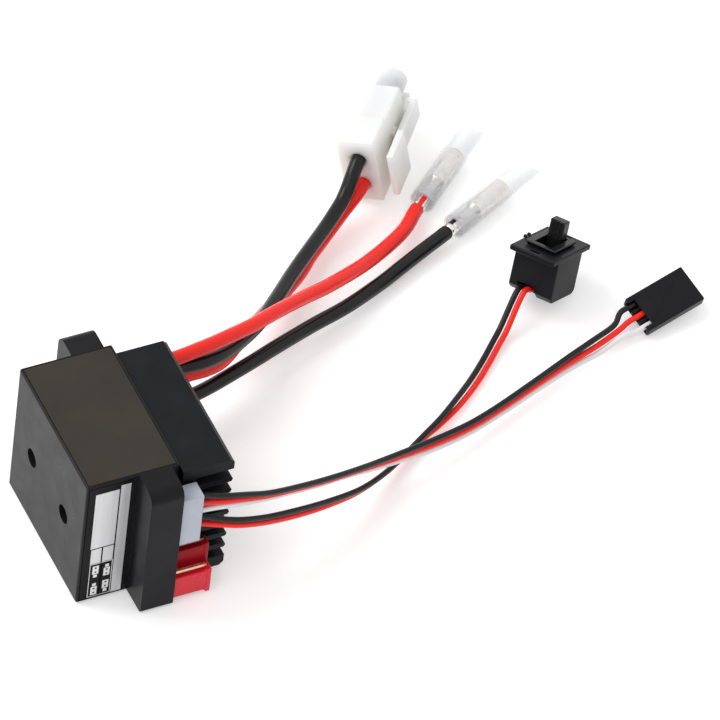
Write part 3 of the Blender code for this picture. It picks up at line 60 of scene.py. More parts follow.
class Look:
    """One procedural material and the few node moves that the looks share."""

    def __init__(self, name, colour, roughness, metallic=0.0, specular=0.5):
        self.mat = bpy.data.materials.new(name)
        self.mat.use_nodes = True
        self.tree = self.mat.node_tree
        self.shader = self.tree.nodes["Principled BSDF"]
        self.colour, self.rough = colour, roughness
        self.put("Base Color", (*colour, 1.0))
        self.put("Roughness", roughness)
        self.put("Metallic", metallic)
        self.put("Specular IOR Level", specular)

    def put(self, socket, value):
        """Set one uniform value on the shader."""
        self.shader.inputs[socket].default_value = value

    def node(self, kind, **values):
        """A new node, with values for its sockets by name and for its settings."""
        made = self.tree.nodes.new(kind)
        for key, value in values.items():
            if key in made.inputs:
                made.inputs[key].default_value = value
            else:
                setattr(made, key, value)
        return made

    def link(self, start, end):
        self.tree.links.new(start, end)

    def place(self, stretch=(1.0, 1.0, 1.0)):
        """The object's own coordinates, stretched along each axis."""
        where = self.node("ShaderNodeTexCoord")
        mapping = self.node("ShaderNodeMapping")
        mapping.inputs["Scale"].default_value = stretch
        self.link(where.outputs["Object"], mapping.inputs["Vector"])
        return mapping.outputs["Vector"]

    def noise(self, scale, detail=3.0, stretch=(1.0, 1.0, 1.0), roughness=0.5):
        made = self.node("ShaderNodeTexNoise", Scale=scale, Detail=detail, Roughness=roughness)
        self.link(self.place(stretch), made.inputs["Vector"])
        return made.outputs["Fac"]

    def spread(self, value, low, high, start=0.3, end=0.7):
        """Map a value's middle range onto low to high."""
        made = self.node("ShaderNodeMapRange")
        for key, number in {"From Min": start, "From Max": end, "To Min": low, "To Max": high}.items():
            made.inputs[key].default_value = number
        self.link(value, made.inputs["Value"])
        return made.outputs["Result"]

    def tint(self, value, amount, other=None):
        """Vary the base colour with a value, towards another colour or a paler one."""
        other = other or tuple(min(1.0, c * (1 + 2 * amount) + 0.004) for c in self.colour)
        mix = self.node("ShaderNodeMix", data_type="RGBA")
        start, end = (socket for socket in mix.inputs if socket.type == "RGBA")
        start.default_value = (*self.colour, 1.0)
        end.default_value = (*other, 1.0)
        self.link(self.spread(value, 0.0, 1.0), mix.inputs[0])
        result = next(socket for socket in mix.outputs if socket.type == "RGBA")
        self.link(result, self.shader.inputs["Base Color"])

    def vary_roughness(self, value, amount):
        """Vary the gloss with a value, by an amount to either side."""
        varied = self.spread(value, self.rough - amount, self.rough + amount)
        self.link(varied, self.shader.inputs["Roughness"])

    def bump(self, value, distance, strength=1.0):
        """Raise the surface with a value, by a distance in metres."""
        made = self.node("ShaderNodeBump", Strength=strength, Distance=distance)
        self.link(value, made.inputs["Height"])
        self.link(made.outputs["Normal"], self.shader.inputs["Normal"])


def moulded(name, colour, roughness, grain=5200.0, depth=0.000012, specular=0.5, patch=90.0):
    """Moulded plastic: fine spark-eroded grain, faint patches in tone and gloss."""
    look = Look(name, colour, roughness, specular=specular)
    look.tint(look.noise(patch, 4.0), 0.12)
    look.vary_roughness(look.noise(patch * 2.3, 5.0), 0.05)
    look.bump(look.noise(grain, 2.0), depth, 0.6)
    return look


def metal(name, colour, roughness, stretch=(1.0, 1.0, 1.0)):
    """Plated metal with faint stains and a fine grain, which a stretch turns into brushed lines."""
    look = Look(name, colour, roughness, metallic=1.0)
    look.tint(look.noise(400.0, 4.0, stretch), 0.1)
    look.vary_roughness(look.noise(900.0, 3.0, stretch), 0.08)
    look.bump(look.noise(2600.0, 2.0, stretch), 0.000010, 0.5)
    return look


def wire_skin(name, colour, roughness, specular=0.5):
    """Soft extruded insulation, with faint marks along it."""
    look = Look(name, colour, roughness, specular=specular)
    look.tint(look.noise(90.0, 3.0), 0.05)
    look.vary_roughness(look.noise(260.0, 3.0), 0.05)
    look.bump(look.noise(800.0, 2.0), 0.000012, 0.3)
    return look


LOOKS = {
    "black_plastic": moulded("case_plastic", (0.0085, 0.0085, 0.0105), 0.32, specular=0.11),
    "switch_black": moulded("switch_plastic", (0.0034, 0.0036, 0.0038), 0.24, specular=0.24),
    "black_aluminium": Look("anodised_aluminium", (0.0045, 0.0055, 0.0072), 0.4, specular=0.14),
    "label_film": Look("label_film", (0.025, 0.0195, 0.0135), 0.36, specular=0.24),
    "sealing_resin": moulded("sealing_resin", (0.008, 0.008, 0.009), 0.4,
                             grain=700.0, depth=0.00006, specular=0.25),
    "board_green": moulded("board_green", (0.010, 0.10, 0.035), 0.4),
    "chip_black": moulded("chip_black", (0.014, 0.014, 0.015), 0.5),
    "pad_grey": moulded("pad_grey", (0.30, 0.31, 0.33), 0.85, grain=1500.0),
    "capacitor_sleeve": moulded("capacitor_sleeve", (0.015, 0.02, 0.05), 0.35),
    "white_plastic": moulded("white_plastic", (0.43, 0.46, 0.53), 0.36),
    "natural_nylon": moulded("natural_nylon", (0.97, 0.945, 0.83), 0.38, patch=60.0),
    "red_plastic": moulded("red_plastic", (0.66, 0.008, 0.026), 0.3, depth=0.000006, specular=0.4),
    # A darker copy of the red plastic: painted shade for the reverse jumper's cap, which sits back in
    # the shade by the signal plug
    "shaded_red": moulded("shaded_red_plastic", (0.30, 0.003, 0.009), 0.3,
                        depth=0.000006, specular=0.14),
    "label_black": moulded("end_label_film", (0.004, 0.004, 0.004), 0.36, specular=0.08),
    "pin_brass": metal("pin_brass", (0.78, 0.60, 0.42), 0.3),
    # A darker copy of the pin brass: painted shade for the reverse header's pins
    "shaded_brass": metal("shaded_brass", (0.22, 0.14, 0.09), 0.4),
    "tinned_brass": metal("tinned_brass", (0.74, 0.72, 0.68), 0.22),
    "steel": metal("steel", (0.55, 0.56, 0.58), 0.3),
    "clear_pvc": Look("clear_vinyl", (0.93, 0.94, 0.97), 0.2, specular=0.6),
    "wire_red": wire_skin("red_insulation", (0.92, 0.018, 0.010), 0.26, specular=0.3),
    "wire_black": wire_skin("black_insulation", (0.0055, 0.0055, 0.0065), 0.22, specular=0.28),
    "wire_white": wire_skin("white_insulation", (0.80, 0.80, 0.82), 0.36),
}

# Extruded aluminium, with drawing lines along the fins
sink = LOOKS["black_aluminium"]
sink.tint(sink.noise(120.0, 4.0), 0.15)
sink.vary_roughness(sink.noise(500.0, 4.0, (1.0, 0.04, 1.0)), 0.07)
sink.bump(sink.noise(2400.0, 3.0, (1.0, 0.02, 1.0)), 0.00002, 0.6)

# Brushed label film, with its lines along X
film = LOOKS["label_film"]
film.tint(film.noise(70.0, 5.0), 0.2)
film.vary_roughness(film.noise(1200.0, 3.0, (0.05, 1.0, 1.0)), 0.06)
film.bump(film.noise(1800.0, 3.0, (0.05, 1.0, 1.0)), 0.000012, 0.6)

# Clear vinyl, denser towards the edge of its outline
vinyl = LOOKS["clear_pvc"]
rim = vinyl.node("ShaderNodeLayerWeight", Blend=0.35)
vinyl.link(vinyl.spread(rim.outputs["Facing"], 0.16, 0.5, 0.2, 1.0), vinyl.shader.inputs["Alpha"])
vinyl.vary_roughness(vinyl.noise(300.0, 3.0), 0.06)
vinyl.bump(vinyl.noise(420.0, 3.0), 0.00004, 0.5)

# The switch's plastic is scuffed to a greyer black
worn = LOOKS["switch_black"]
worn.tint(worn.noise(380.0, 6.0, roughness=0.7), 0.0, (0.011, 0.0115, 0.012))

# Unfilled nylon lets light in
nylon = LOOKS["natural_nylon"]
nylon.put("Subsurface Weight", 0.8)
nylon.put("Subsurface Radius", (0.006, 0.0055, 0.0045))
nylon.put("Subsurface Scale", 1.0)


def dress(obj, look):
    """Give an object one of the looks in place of what it has."""
    obj.data.materials.clear()
    obj.data.materials.append(LOOKS[look].mat)


NODE_LOOKS = {row["node"]: row["material_slot"] for row in frame["record"]["subparts"]}
for node_name, slot_name in NODE_LOOKS.items():
    # The reverse header's pins take the darker brass, which paints the shade where they sit back by
    # the signal plug
    if "header_pin" in node_name or node_name.endswith("jumper_clip"):
        slot_name = "shaded_brass" if node_name.startswith("reverse") else "pin_brass"
    dress(NODES[node_name], slot_name)


# ---------------------------------------------------------------- leads

POWER_ANCHOR = Vector((2.4, 19.65, 0.0))    # front of the power end's ear, in the row of leads
SIGNAL_ANCHOR = Vector((7.2, -20.4, 0.0))   # face of the signal plug, in its row of bores
POWER_WIRE = 3.0                            # diameters over the insulation
SIGNAL_WIRE = 1.2
RIBBON_PITCH = 1.42                         # between the side-by-side leads of a ribbon
CURVE_STEPS = 24                            # fine points between two points of a route
POINT_SPACING = 0.6                         # along a lead's curve, in diameters
LEAD_BEVEL = 6                              # bevel resolution of a lead


def placed(location, heading, pitch=0.0, roll=0.0):
    """The frame of a plug, in millimetres, turned by three angles in degrees."""
    turn = Matrix.Identity(4)
    for angle, axis in ((heading, "Z"), (pitch, "Y"), (roll, "X")):
        turn = turn @ Matrix.Rotation(math.radians(angle), 4, axis)
    return Matrix.Translation(location) @ turn


# Where each loose plug lies, as the solids have it
BATTERY_FRAME = placed(POWER_ANCHOR + Vector((77.8, 43.5, 8.8)), 49.0, 0.0, -14.0)
RED_SOCKET_FRAME = placed(POWER_ANCHOR + Vector((87.2, 35.5, 2.8)), 39.8)
BLACK_SOCKET_FRAME = placed(POWER_ANCHOR + Vector((90.2, 27.6, 2.8)), 25.7)
SWITCH_FRAME = placed(SIGNAL_ANCHOR + Vector((99.2, 49.9, 12.3)), -57.9, -7.2, -22.3)
RECEIVER_FRAME = placed(SIGNAL_ANCHOR + Vector((118.4, 35.4, 3.5)), 12.5, -7.0, 17.0)


def smooth_path(route, spacing):
    """Points at about one spacing along a smooth curve through the route's points."""
    ends = [route[0] * 2 - route[1], *route, route[-1] * 2 - route[-2]]
    fine = []
    for a, b, c, d in zip(ends, ends[1:], ends[2:], ends[3:]):
        for step in range(CURVE_STEPS):
            t = step / CURVE_STEPS
            fine.append(0.5 * (2 * b + (c - a) * t + (2 * a - 5 * b + 4 * c - d) * t ** 2
                               + (3 * b - a - 3 * c + d) * t ** 3))
    fine.append(route[-1])
    lengths = [0.0]
    for first, second in zip(fine, fine[1:]):
        lengths.append(lengths[-1] + (second - first).length)
    count = max(2, round(lengths[-1] / spacing))
    points = []
    index = 0
    for step in range(count + 1):
        target = lengths[-1] * step / count
        while index < len(fine) - 2 and lengths[index + 1] < target:
            index += 1
        share = (target - lengths[index]) / (lengths[index + 1] - lengths[index])
        points.append(fine[index].lerp(fine[index + 1], min(max(share, 0.0), 1.0)))
    return points


def ribbon_routes(waypoints, count):
    """Side-by-side routes: each waypoint of the first lead ends with the turn at which the others
    lie from it, 0 for under it and 90 for beside it."""
    places = [SIGNAL_ANCHOR + Vector(waypoint[:3]) for waypoint in waypoints]
    routes = [[] for _ in range(count)]
    for index, place in enumerate(places):
        along = (places[min(index + 1, len(places) - 1)] - places[max(index - 1, 0)]).normalized()
        right = Vector((along.y, -along.x, 0.0)).normalized()
        down = along.cross(right)
        turn = math.radians(waypoints[index][3])
        step = (right * math.sin(turn) + down * math.cos(turn)) * RIBBON_PITCH
        for wire in range(count):
            routes[wire].append(place + step * wire)
    return routes


def lead(name, route, diameter, look):
    """A free lead in place of its CAD tube, with the same route."""
    points = [point * MM for point in smooth_path(route, diameter * POINT_SPACING)]
    data = bpy.data.curves.new("skin_" + name, "CURVE")
    data.dimensions = "3D"
    data.bevel_depth = diameter / 2 * MM
    data.bevel_resolution = LEAD_BEVEL
    data.resolution_u = 1
    data.use_fill_caps = True
    spline = data.splines.new("POLY")
    spline.points.add(len(points) - 1)
    spline.use_smooth = True
    for slot, point in zip(spline.points, points):
        slot.co = (*point, 1.0)
    obj = bpy.data.objects.new("skin_" + name, data)
    data.materials.append(LOOKS[look].mat)
    bpy.context.scene.collection.objects.link(obj)
    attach(obj, BODY)
    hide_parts(name)


# The black lead's waypoints (x, y, z, turn) from SIGNAL_ANCHOR, as the solids have them
RECEIVER_ROUTE = (
    (5.5, 0.0, 24.6, 0), (10.1, 0.4, 22.8, -10), (16.0, 1.3, 20.2, -25), (23.5, 3.3, 17.2, -30),
    (31.3, 5.7, 14.2, -30), (39.1, 8.3, 11.4, -30), (45.8, 10.8, 9.0, -20), (52.3, 12.8, 7.4, -10),
    (59.8, 15.0, 5.9, 0), (67.6, 17.3, 4.8, 0), (75.5, 20.3, 4.1, 0), (86.1, 24.6, 3.8, 5),
    (93.9, 27.8, 3.7, 15), (100.9, 30.6, 3.5, 42), (106.4, 33.1, 3.1, 70))
SWITCH_ROUTE = (
    (5.6, -0.8, 18.6, 0), (10.0, -0.9, 17.0, 0), (16.1, 0.3, 14.4, 0), (23.7, 2.4, 11.4, 0),
    (31.4, 4.9, 8.4, -10), (39.5, 7.9, 5.6, -25), (46.8, 11.8, 3.6, -30), (53.0, 15.8, 2.6, -20),
    (59.0, 19.6, 2.3, -10), (63.6, 22.4, 2.3, 10), (68.6, 26.2, 1.9, 45), (73.9, 30.6, 1.3, 70),
    (78.4, 34.7, 1.0, 85), (82.2, 38.3, 1.3, 90), (85.2, 41.0, 2.1, 90))
SIGNAL_PIN_HEIGHTS = (26.3, 24.3, 22.3, 20.3, 18.3)
PLUG_EXIT_X = (6.3, 8.2)                    # straight run of a lead out of the signal plug
RECEIVER_PITCH = 2.54
RECEIVER_ENTRY = (-9.0, -6.0, -2.3)         # straight run into the receiver plug, along its X axis
SWITCH_ENTRY = (-6.9, -3.6)                 # straight run into the holder's notch, along its Y axis
SWITCH_NOTCH_SHIFT = -0.9                   # middle of the notch, off the holder's middle
SWITCH_NOTCH_Z = -9.1                       # below the flange
COLOURS = ("black", "red", "white")


def make_signal_leads(switch_pieces):
    """The three receiver leads and the two switch leads, out of the one signal plug."""
    starts = [[Vector((x, SIGNAL_ANCHOR.y, height)) for x in PLUG_EXIT_X]
              for height in SIGNAL_PIN_HEIGHTS]
    for wire, (colour, route) in enumerate(zip(COLOURS, ribbon_routes(RECEIVER_ROUTE, 3))):
        side = (1 - wire) * RECEIVER_PITCH
        entry = [RECEIVER_FRAME @ Vector((along, side, 0.0)) for along in RECEIVER_ENTRY]
        lead("receiver_lead_" + colour, starts[wire] + route + entry, SIGNAL_WIRE,
             "wire_" + colour)
    for wire, (colour, route) in enumerate(zip(COLOURS, ribbon_routes(SWITCH_ROUTE, 2))):
        side = SWITCH_NOTCH_SHIFT + (wire - 0.5) * RIBBON_PITCH
        entry = [SWITCH_FRAME @ Vector((side, along, SWITCH_NOTCH_Z)) for along in SWITCH_ENTRY]
        lead("switch_lead_" + colour, starts[wire + 3] + route + entry, SIGNAL_WIRE,
             "wire_" + colour)


# Height at the resin, then waypoints from POWER_ANCHOR, as the solids have them
POWER_ROUTES = {
    "motor_lead_black": (6.9, (
        (5.5, 0.0, 7.0), (14.1, -0.4, 7.4), (23.3, 0.5, 7.3), (35.6, 4.8, 6.3), (44.6, 8.5, 5.3),
        (53.9, 12.4, 3.9), (62.8, 15.6, 2.9), (72.0, 19.5, 2.4), (77.4, 22.0, 2.4),
        (83.1, 24.6, 2.5))),
    "battery_lead_red": (12.3, (
        (5.5, 0.0, 12.5), (14.5, 0.4, 13.0), (21.3, 1.4, 12.6), (26.6, 2.5, 11.4),
        (30.9, 4.8, 10.2), (37.9, 10.9, 7.8), (46.9, 18.3, 5.0), (57.1, 26.7, 2.6),
        (61.8, 31.2, 2.1), (66.9, 35.2, 2.3), (71.9, 38.7, 3.4))),
    "battery_lead_black": (17.7, (
        (5.5, 0.0, 17.8), (14.4, -0.4, 18.1), (23.4, -0.4, 17.2), (30.9, 2.9, 14.9),
        (40.3, 9.9, 11.6), (47.4, 16.8, 9.3), (55.4, 24.7, 7.4), (65.2, 33.2, 6.4),
        (69.1, 36.4, 6.8), (72.5, 39.3, 7.8))),
    "motor_lead_red": (23.1, (
        (5.5, -0.2, 22.9), (14.5, -1.2, 21.6), (23.0, 0.1, 20.9), (29.8, 2.2, 19.7),
        (36.3, 4.6, 18.3), (43.9, 8.5, 15.9), (51.4, 12.5, 12.9), (58.9, 16.2, 10.1),
        (70.4, 22.9, 5.8), (81.2, 29.9, 3.4))),
}


RESIN_EXIT_X = (-0.5, 2.4)                  # straight run of a lead out of the resin
SOCKET_ENTRY = (-1.0, 0.0)                  # straight run up to a motor socket
BATTERY_ENTRY = (-1.0, 7.0)                 # straight run into the battery plug
BATTERY_SIDE = 3.15                         # half the battery plug's pitch


def make_power_leads():
    """The four leads of the power end, with the pieces that each one carries."""
    ends = {
        "motor_lead_black": (BLACK_SOCKET_FRAME, SOCKET_ENTRY, 0.0),
        "motor_lead_red": (RED_SOCKET_FRAME, SOCKET_ENTRY, 0.0),
        "battery_lead_black": (BATTERY_FRAME, BATTERY_ENTRY, BATTERY_SIDE),
        "battery_lead_red": (BATTERY_FRAME, BATTERY_ENTRY, -BATTERY_SIDE),
    }
    for name, (height, waypoints) in POWER_ROUTES.items():
        start = [Vector((x, POWER_ANCHOR.y, height)) for x in RESIN_EXIT_X]
        route = [POWER_ANCHOR + Vector(point) for point in waypoints]
        plug, entry, side = ends[name]
        end = [plug @ Vector((along, 0.0, side)) for along in entry]
        look = "wire_red" if name.endswith("red") else "wire_black"
        lead(name, start + route + end, POWER_WIRE, look)


# ---------------------------------------------------------------- rounded mouldings

SKINS = {}                                  # the pieces shown in place of nodes, by node name
WELD_REACH = 0.000002                       # joins the corner points of a node's faces
SHARP_ANGLE = 28.0                          # an edge that bends more is rounded off
EDGE_SEGMENTS = 3


def link_piece(name, bm, look, body, replaced=(), smooth=True):
    """Put a finished bmesh into the scene as one piece on a body."""
    mesh = bpy.data.meshes.new(name)
    bmesh.ops.recalc_face_normals(bm, faces=bm.faces)
    for face in bm.faces:
        face.smooth = smooth
    bm.to_mesh(mesh)
    bm.free()
    mesh.materials.append(LOOKS[look].mat)
    obj = bpy.data.objects.new(name, mesh)
    bpy.context.scene.collection.objects.link(obj)
    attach(obj, body)
    if replaced:
        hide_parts(*replaced)
    return obj


def round_edges(obj, width, **settings):
    """Round a piece's edges off by a width in millimetres."""
    edges = obj.modifiers.new("edges", "BEVEL")
    edges.width = width * MM
    edges.segments = EDGE_SEGMENTS
    for key, value in settings.items():
        setattr(edges, key, value)


def softened(node, width, body=BODY, look=None):
    """A node's shape with its sharp edges rounded off, in the node's place."""
    bm = bmesh.new()
    bm.from_mesh(NODES[node].data)
    bmesh.ops.remove_doubles(bm, verts=bm.verts, dist=WELD_REACH)
    obj = link_piece("skin_" + node, bm, look or NODE_LOOKS[node], body, (node,))
    round_edges(obj, width, limit_method="ANGLE", angle_limit=math.radians(SHARP_ANGLE))
    shading = obj.modifiers.new("shading", "WEIGHTED_NORMAL")
    shading.keep_sharp = True
    shading.weight = 100
    SKINS[node] = obj


softened("case_shell", 0.22)
softened("heat_sink", 0.12)
softened("signal_socket", 0.1)
softened("signal_plug", 0.16)
softened("reverse_header", 0.1)
softened("battery_header", 0.1)
softened("end_label", 0.06, look="label_black")
# The reverse jumper's cap takes the darker red, which paints its shade
softened("reverse_jumper_cap", 0.2, "reverse_jumper", look="shaded_red")
softened("battery_jumper_cap", 0.2, "battery_jumper")
softened("switch_holder", 0.14)
softened("switch_body", 0.1)
softened("switch_lever", 0.08, "power_switch_lever")
softened("receiver_plug_housing", 0.18)
softened("battery_plug_housing", 0.25)
softened("battery_plug_latch", 0.25, "battery_latch")


# ---------------------------------------------------------------- motor sockets

LATHE_SIDES = 48
GROOVE_DEPTH = 0.16
SEAM_STEP = 11                              # the side that a socket's seam runs along


def on_axis(bm, axes, along, radius, angle):
    """A new point at a place along a plug's own X axis and an angle round it."""
    point = Vector((along, radius * math.cos(angle), radius * math.sin(angle)))
    return bm.verts.new(axes @ point * MM)


def lathe(bm, profile, axes, groove=None):
    """A closed outline of (along, radius) points turned round a plug's own X axis. A groove
    (start, end, least radius) cuts the outer face along one side."""
    rings = []
    for along, radius in profile:
        grooved = groove and groove[0] <= along <= groove[1] and radius > groove[2]
        ring = []
        for step in range(LATHE_SIDES):
            reach = radius - GROOVE_DEPTH if grooved and step == SEAM_STEP else radius
            ring.append(on_axis(bm, axes, along, reach, 2 * math.pi * step / LATHE_SIDES))
        rings.append(ring)
    for index, ring in enumerate(rings):
        after = rings[(index + 1) % len(rings)]
        for step in range(LATHE_SIDES):
            nxt = (step + 1) % LATHE_SIDES
            bm.faces.new((ring[step], ring[nxt], after[nxt], after[step]))


def make_motor_socket(colour, axes):
    """A rolled sheet socket, crimped on the lead, with its seam on top."""
    bm = bmesh.new()
    profile = [
        (0.3, 0.35), (0.3, 1.28), (0.42, 1.4), (1.2, 1.4), (1.45, 1.33), (1.7, 1.4), (5.2, 1.4),
        (5.5, 1.3), (6.3, 1.3), (6.6, 1.4), (7.4, 1.4), (7.7, 1.46), (8.2, 1.9), (8.6, 2.03),
        (9.0, 2.05), (10.2, 2.05), (10.4, 1.97), (10.8, 1.97), (11.0, 2.05), (16.6, 2.05),
        (16.9, 2.0), (17.3, 2.05), (17.4, 1.98), (17.38, 1.8), (17.2, 1.75), (9.8, 1.75),
        (9.8, 0.35)]
    lathe(bm, profile, axes, groove=(8.6, 17.4, 1.9))
    return link_piece("skin_motor_socket_" + colour, bm, "tinned_brass", BODY,
                      ("motor_socket_" + colour,))


def make_seam_strip(colour, axes, start, end, angle):
    """The lead's insulation, showing between the two wings of the crimp: a bent strip of a few
    cells, from start to end along the socket, round an angle in degrees."""
    bm = bmesh.new()
    half_angle, steps = 22.0, 6
    inner, outer = 1.2, 1.46
    end_run, end_drop, edge_drop = 0.3, 0.06, 0.05
    rows = []
    for along in (start, start + end_run, end - end_run, end):
        row = []
        for step in range(steps + 1):
            turn = math.radians(angle - half_angle + 2 * half_angle * step / steps)
            top = outer - (end_drop if along in (start, end) else 0.0)
            top -= edge_drop if step in (0, steps) else 0.0
            row.append([on_axis(bm, axes, along, radius, turn) for radius in (inner, top)])
        rows.append(row)
    for first, second in zip(rows, rows[1:]):
        for step in range(steps):
            for layer in (0, 1):
                bm.faces.new((first[step][layer], first[step + 1][layer],
                              second[step + 1][layer], second[step][layer]))
        for step in (0, steps):
            bm.faces.new((first[step][0], first[step][1], second[step][1], second[step][0]))
    for row in (rows[0], rows[-1]):
        for step in range(steps):
            bm.faces.new((row[step][0], row[step + 1][0], row[step + 1][1], row[step][1]))
    return link_piece("seam_strip_" + colour, bm, "wire_" + colour, BODY)


def make_clear_sleeve(colour, axes):
    """A soft vinyl sleeve with a crease before the socket's barrel, a thin skirt past the socket's
    mouth, and a thicker liner round the crimp."""
    outer = [
        (2.3, 2.62), (2.36, 2.65), (5.0, 2.65), (8.0, 2.65), (8.5, 2.58), (8.8, 2.42), (9.0, 2.4),
        (9.3, 2.5), (9.7, 2.65), (12.0, 2.63), (17.0, 2.65), (17.5, 2.63), (18.4, 2.5), (20.0, 2.5),
        (27.4, 2.5), (27.6, 2.47)]
    inner = [
        (27.6, 2.23), (27.4, 2.2), (18.6, 2.2), (17.5, 2.35), (9.7, 2.35), (9.3, 2.25), (9.0, 2.16),
        (8.8, 2.18), (8.4, 2.3), (5.0, 2.35), (2.3, 2.38)]
    liner = [(2.5, 2.3), (8.0, 2.3), (8.4, 2.2), (8.4, 1.9), (7.4, 1.7), (2.5, 1.7)]
    bm = bmesh.new()
    lathe(bm, outer + inner, axes)
    lathe(bm, liner, axes)
    return link_piece("skin_clear_sleeve_" + colour, bm, "clear_pvc", BODY,
                      ("clear_sleeve_" + colour,))


# Each motor lead's frame, and the start, end and angle of its seam strip
for end_colour, end_frame, strip in (("red", RED_SOCKET_FRAME, (0.05, 3.6, 106.0)),
                                     ("black", BLACK_SOCKET_FRAME, (1.3, 4.2, 76.0))):
    make_motor_socket(end_colour, end_frame)
    make_clear_sleeve(end_colour, end_frame)
    make_seam_strip(end_colour, end_frame, *strip)
make_power_leads()


# ---------------------------------------------------------------- trim of the switch and the caps

def add_box(bm, place):
    """A unit cube, placed and stretched by a matrix in metres."""
    made = bmesh.ops.create_cube(bm, size=1.0)
    bmesh.ops.transform(bm, matrix=place, verts=made["verts"])


def box_between(low, size):
    """The matrix that puts a unit cube from a low corner over a size."""
    return Matrix.Translation(low + size / 2) @ Matrix.Diagonal((*size, 1.0))


def moulding_nubs():
    """Two stubs of the runner left on the switch flange's edge."""
    edge_x, middle_z = -5.22, 0.05
    shape = Matrix.Diagonal((0.6, 0.55, 0.6, 1.0))
    bm = bmesh.new()
    for y in (-1.3, 0.1):
        place = SWITCH_FRAME @ Matrix.Translation((edge_x, y, middle_z)) @ shape
        add_box(bm, Matrix.Scale(MM, 4) @ place)
    return link_piece("switch_flange_nubs", bm, "switch_black", BODY, smooth=False)


make_signal_leads(
    {"black": [SKINS["switch_holder"], SKINS["switch_body"], moulding_nubs()],
     "red": [SKINS["switch_lever"]]})


LIP_SPAN = (1.1, 0.15)                      # start and end, back from the cap's outer end
LIP_PROUD = Vector((0.0, 0.13, 0.2))        # how far the lip stands out of the cap's sides
LIP_EDGE = 0.15


def cap_lip(body, look):
    """The raised lip round a jumper cap, just short of its outer end."""
    node = body + "_cap"
    low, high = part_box(node)
    start = Vector((high.x - LIP_SPAN[0] * MM, low.y, low.z)) - LIP_PROUD * MM
    end = Vector((high.x - LIP_SPAN[1] * MM, high.y, high.z)) + LIP_PROUD * MM
    bm = bmesh.new()
    add_box(bm, box_between(start, end - start))
    round_edges(link_piece("cap_lip_" + node, bm, look, body), LIP_EDGE)


# The reverse cap's lip takes the darker red too, as painted shade
cap_lip("reverse_jumper", "shaded_red")
cap_lip("battery_jumper", "red_plastic")


# ---------------------------------------------------------------- printed marks on the end label

LABEL_FACE_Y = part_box("end_label")[0].y
CASE_BOTTOM_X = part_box("case_shell")[0].x
PRINT_PROUD = 0.02                          # how far the print stands out of the label
PRINT_ROOT = 0.03                           # and how far it runs into it
PRINT_LINE = 0.13


def print_block(bm, x, z, width, height):
    """A flat patch of print on the end label: x from the case's bottom face, z from the table."""
    low = Vector((CASE_BOTTOM_X + x * MM, LABEL_FACE_Y - PRINT_PROUD * MM, z * MM))
    add_box(bm, box_between(low, Vector((width, PRINT_PROUD + PRINT_ROOT, height)) * MM))


def print_frame(bm, x, z, width, height):
    """The four lines of a box."""
    line = PRINT_LINE
    print_block(bm, x, z, width, line)
    print_block(bm, x, z + height - line, width, line)
    print_block(bm, x, z + line, line, height - 2 * line)
    print_block(bm, x + width - line, z + line, line, height - 2 * line)


def print_jumper(bm, x, z, covered_first):
    """A jumper over two of three pins, from above: two pin ends in a cap and one bare."""
    pitch, width, pin = 1.15, 1.3, 0.42
    bare_inset_x, bare_inset_z = 0.25, 0.18
    cap = z + (0.0 if covered_first else pitch)
    bare = z + (2 * pitch if covered_first else 0.0)
    rows = [cap, cap + (pitch - pin) / 2, cap + (pitch + pin) / 2,
            cap + pitch + (pitch - pin) / 2, cap + pitch + (pitch + pin) / 2, cap + 2 * pitch]
    for low, high in ((0, 1), (2, 3), (4, 5)):
        print_block(bm, x, rows[low], width, rows[high] - rows[low])
    for low, high in ((1, 2), (3, 4)):
        for side in (0.0, (width + pin) / 2):
            print_block(bm, x + side, rows[low], (width - pin) / 2, rows[high] - rows[low])
    print_block(bm, x + bare_inset_x, bare + bare_inset_z,
                width - 2 * bare_inset_x, pitch - 2 * bare_inset_z)


# x, z, width and height of each patch of print
STRIP = (7.3, 0.72, 2.12, 30.75)
PANELS = ((2.05, 14.85, 4.95, 15.65), (2.25, 10.4, 2.2, 4.15), (4.78, 10.4, 2.2, 4.15))
BOXES = ((2.3, 0.85, 2.53, 9.4), (4.7, 0.85, 2.4, 9.4))
JUMPER_ROWS = (1.3, 6.1)
JUMPER_INSET = 0.65                         # from a box's side to the jumpers drawn in it


def make_end_print():
    """A bare silver strip and panels, and four jumper drawings in two boxes, with no lettering."""
    silver = bmesh.new()
    for patch in (STRIP, *PANELS):
        print_block(silver, *patch)
    link_piece("print_silver", silver, "print_silver", BODY, smooth=False)
    white = bmesh.new()
    for column, box in enumerate(BOXES):
        print_frame(white, *box)
        for row, z in enumerate(JUMPER_ROWS):
            print_jumper(white, box[0] + JUMPER_INSET, z, (row + column) % 2 == 0)
    link_piece("print_white", white, "print_white", BODY, smooth=False)


LOOKS["print_silver"] = metal("print_silver", (0.62, 0.62, 0.63), 0.38, (1.0, 1.0, 0.05))
LOOKS["print_silver"].put("Metallic", 0.5)
LOOKS["print_white"] = moulded("print_white", (0.8, 0.8, 0.8), 0.5)
make_end_print()


# ---------------------------------------------------------------- floor, light and camera

FLOOR_SIZE = 4.0                            # half the floor's side, in metres
FLOOR_DROP = 0.0002                         # below the object
FLOOR_LIFT = 0.32                           # takes the lit floor to white and leaves its shadows
WORLD_LIGHT = 0.72
LAMP_TARGET = Vector((0.05, 0.02, 0.0))
CAMERA_PLACE = (-0.7292, -1.38315, 1.7260)
CAMERA_RIGHT = Vector((0.9097, -0.4060, 0.0868))
CAMERA_FORWARD = Vector((0.3353, 0.5952, -0.7303))
CAMERA_SENSOR, CAMERA_LENS = 36.0, 596.9    # in millimetres: a narrow view from 2.4 m away
CAMERA_REACH = 20.0


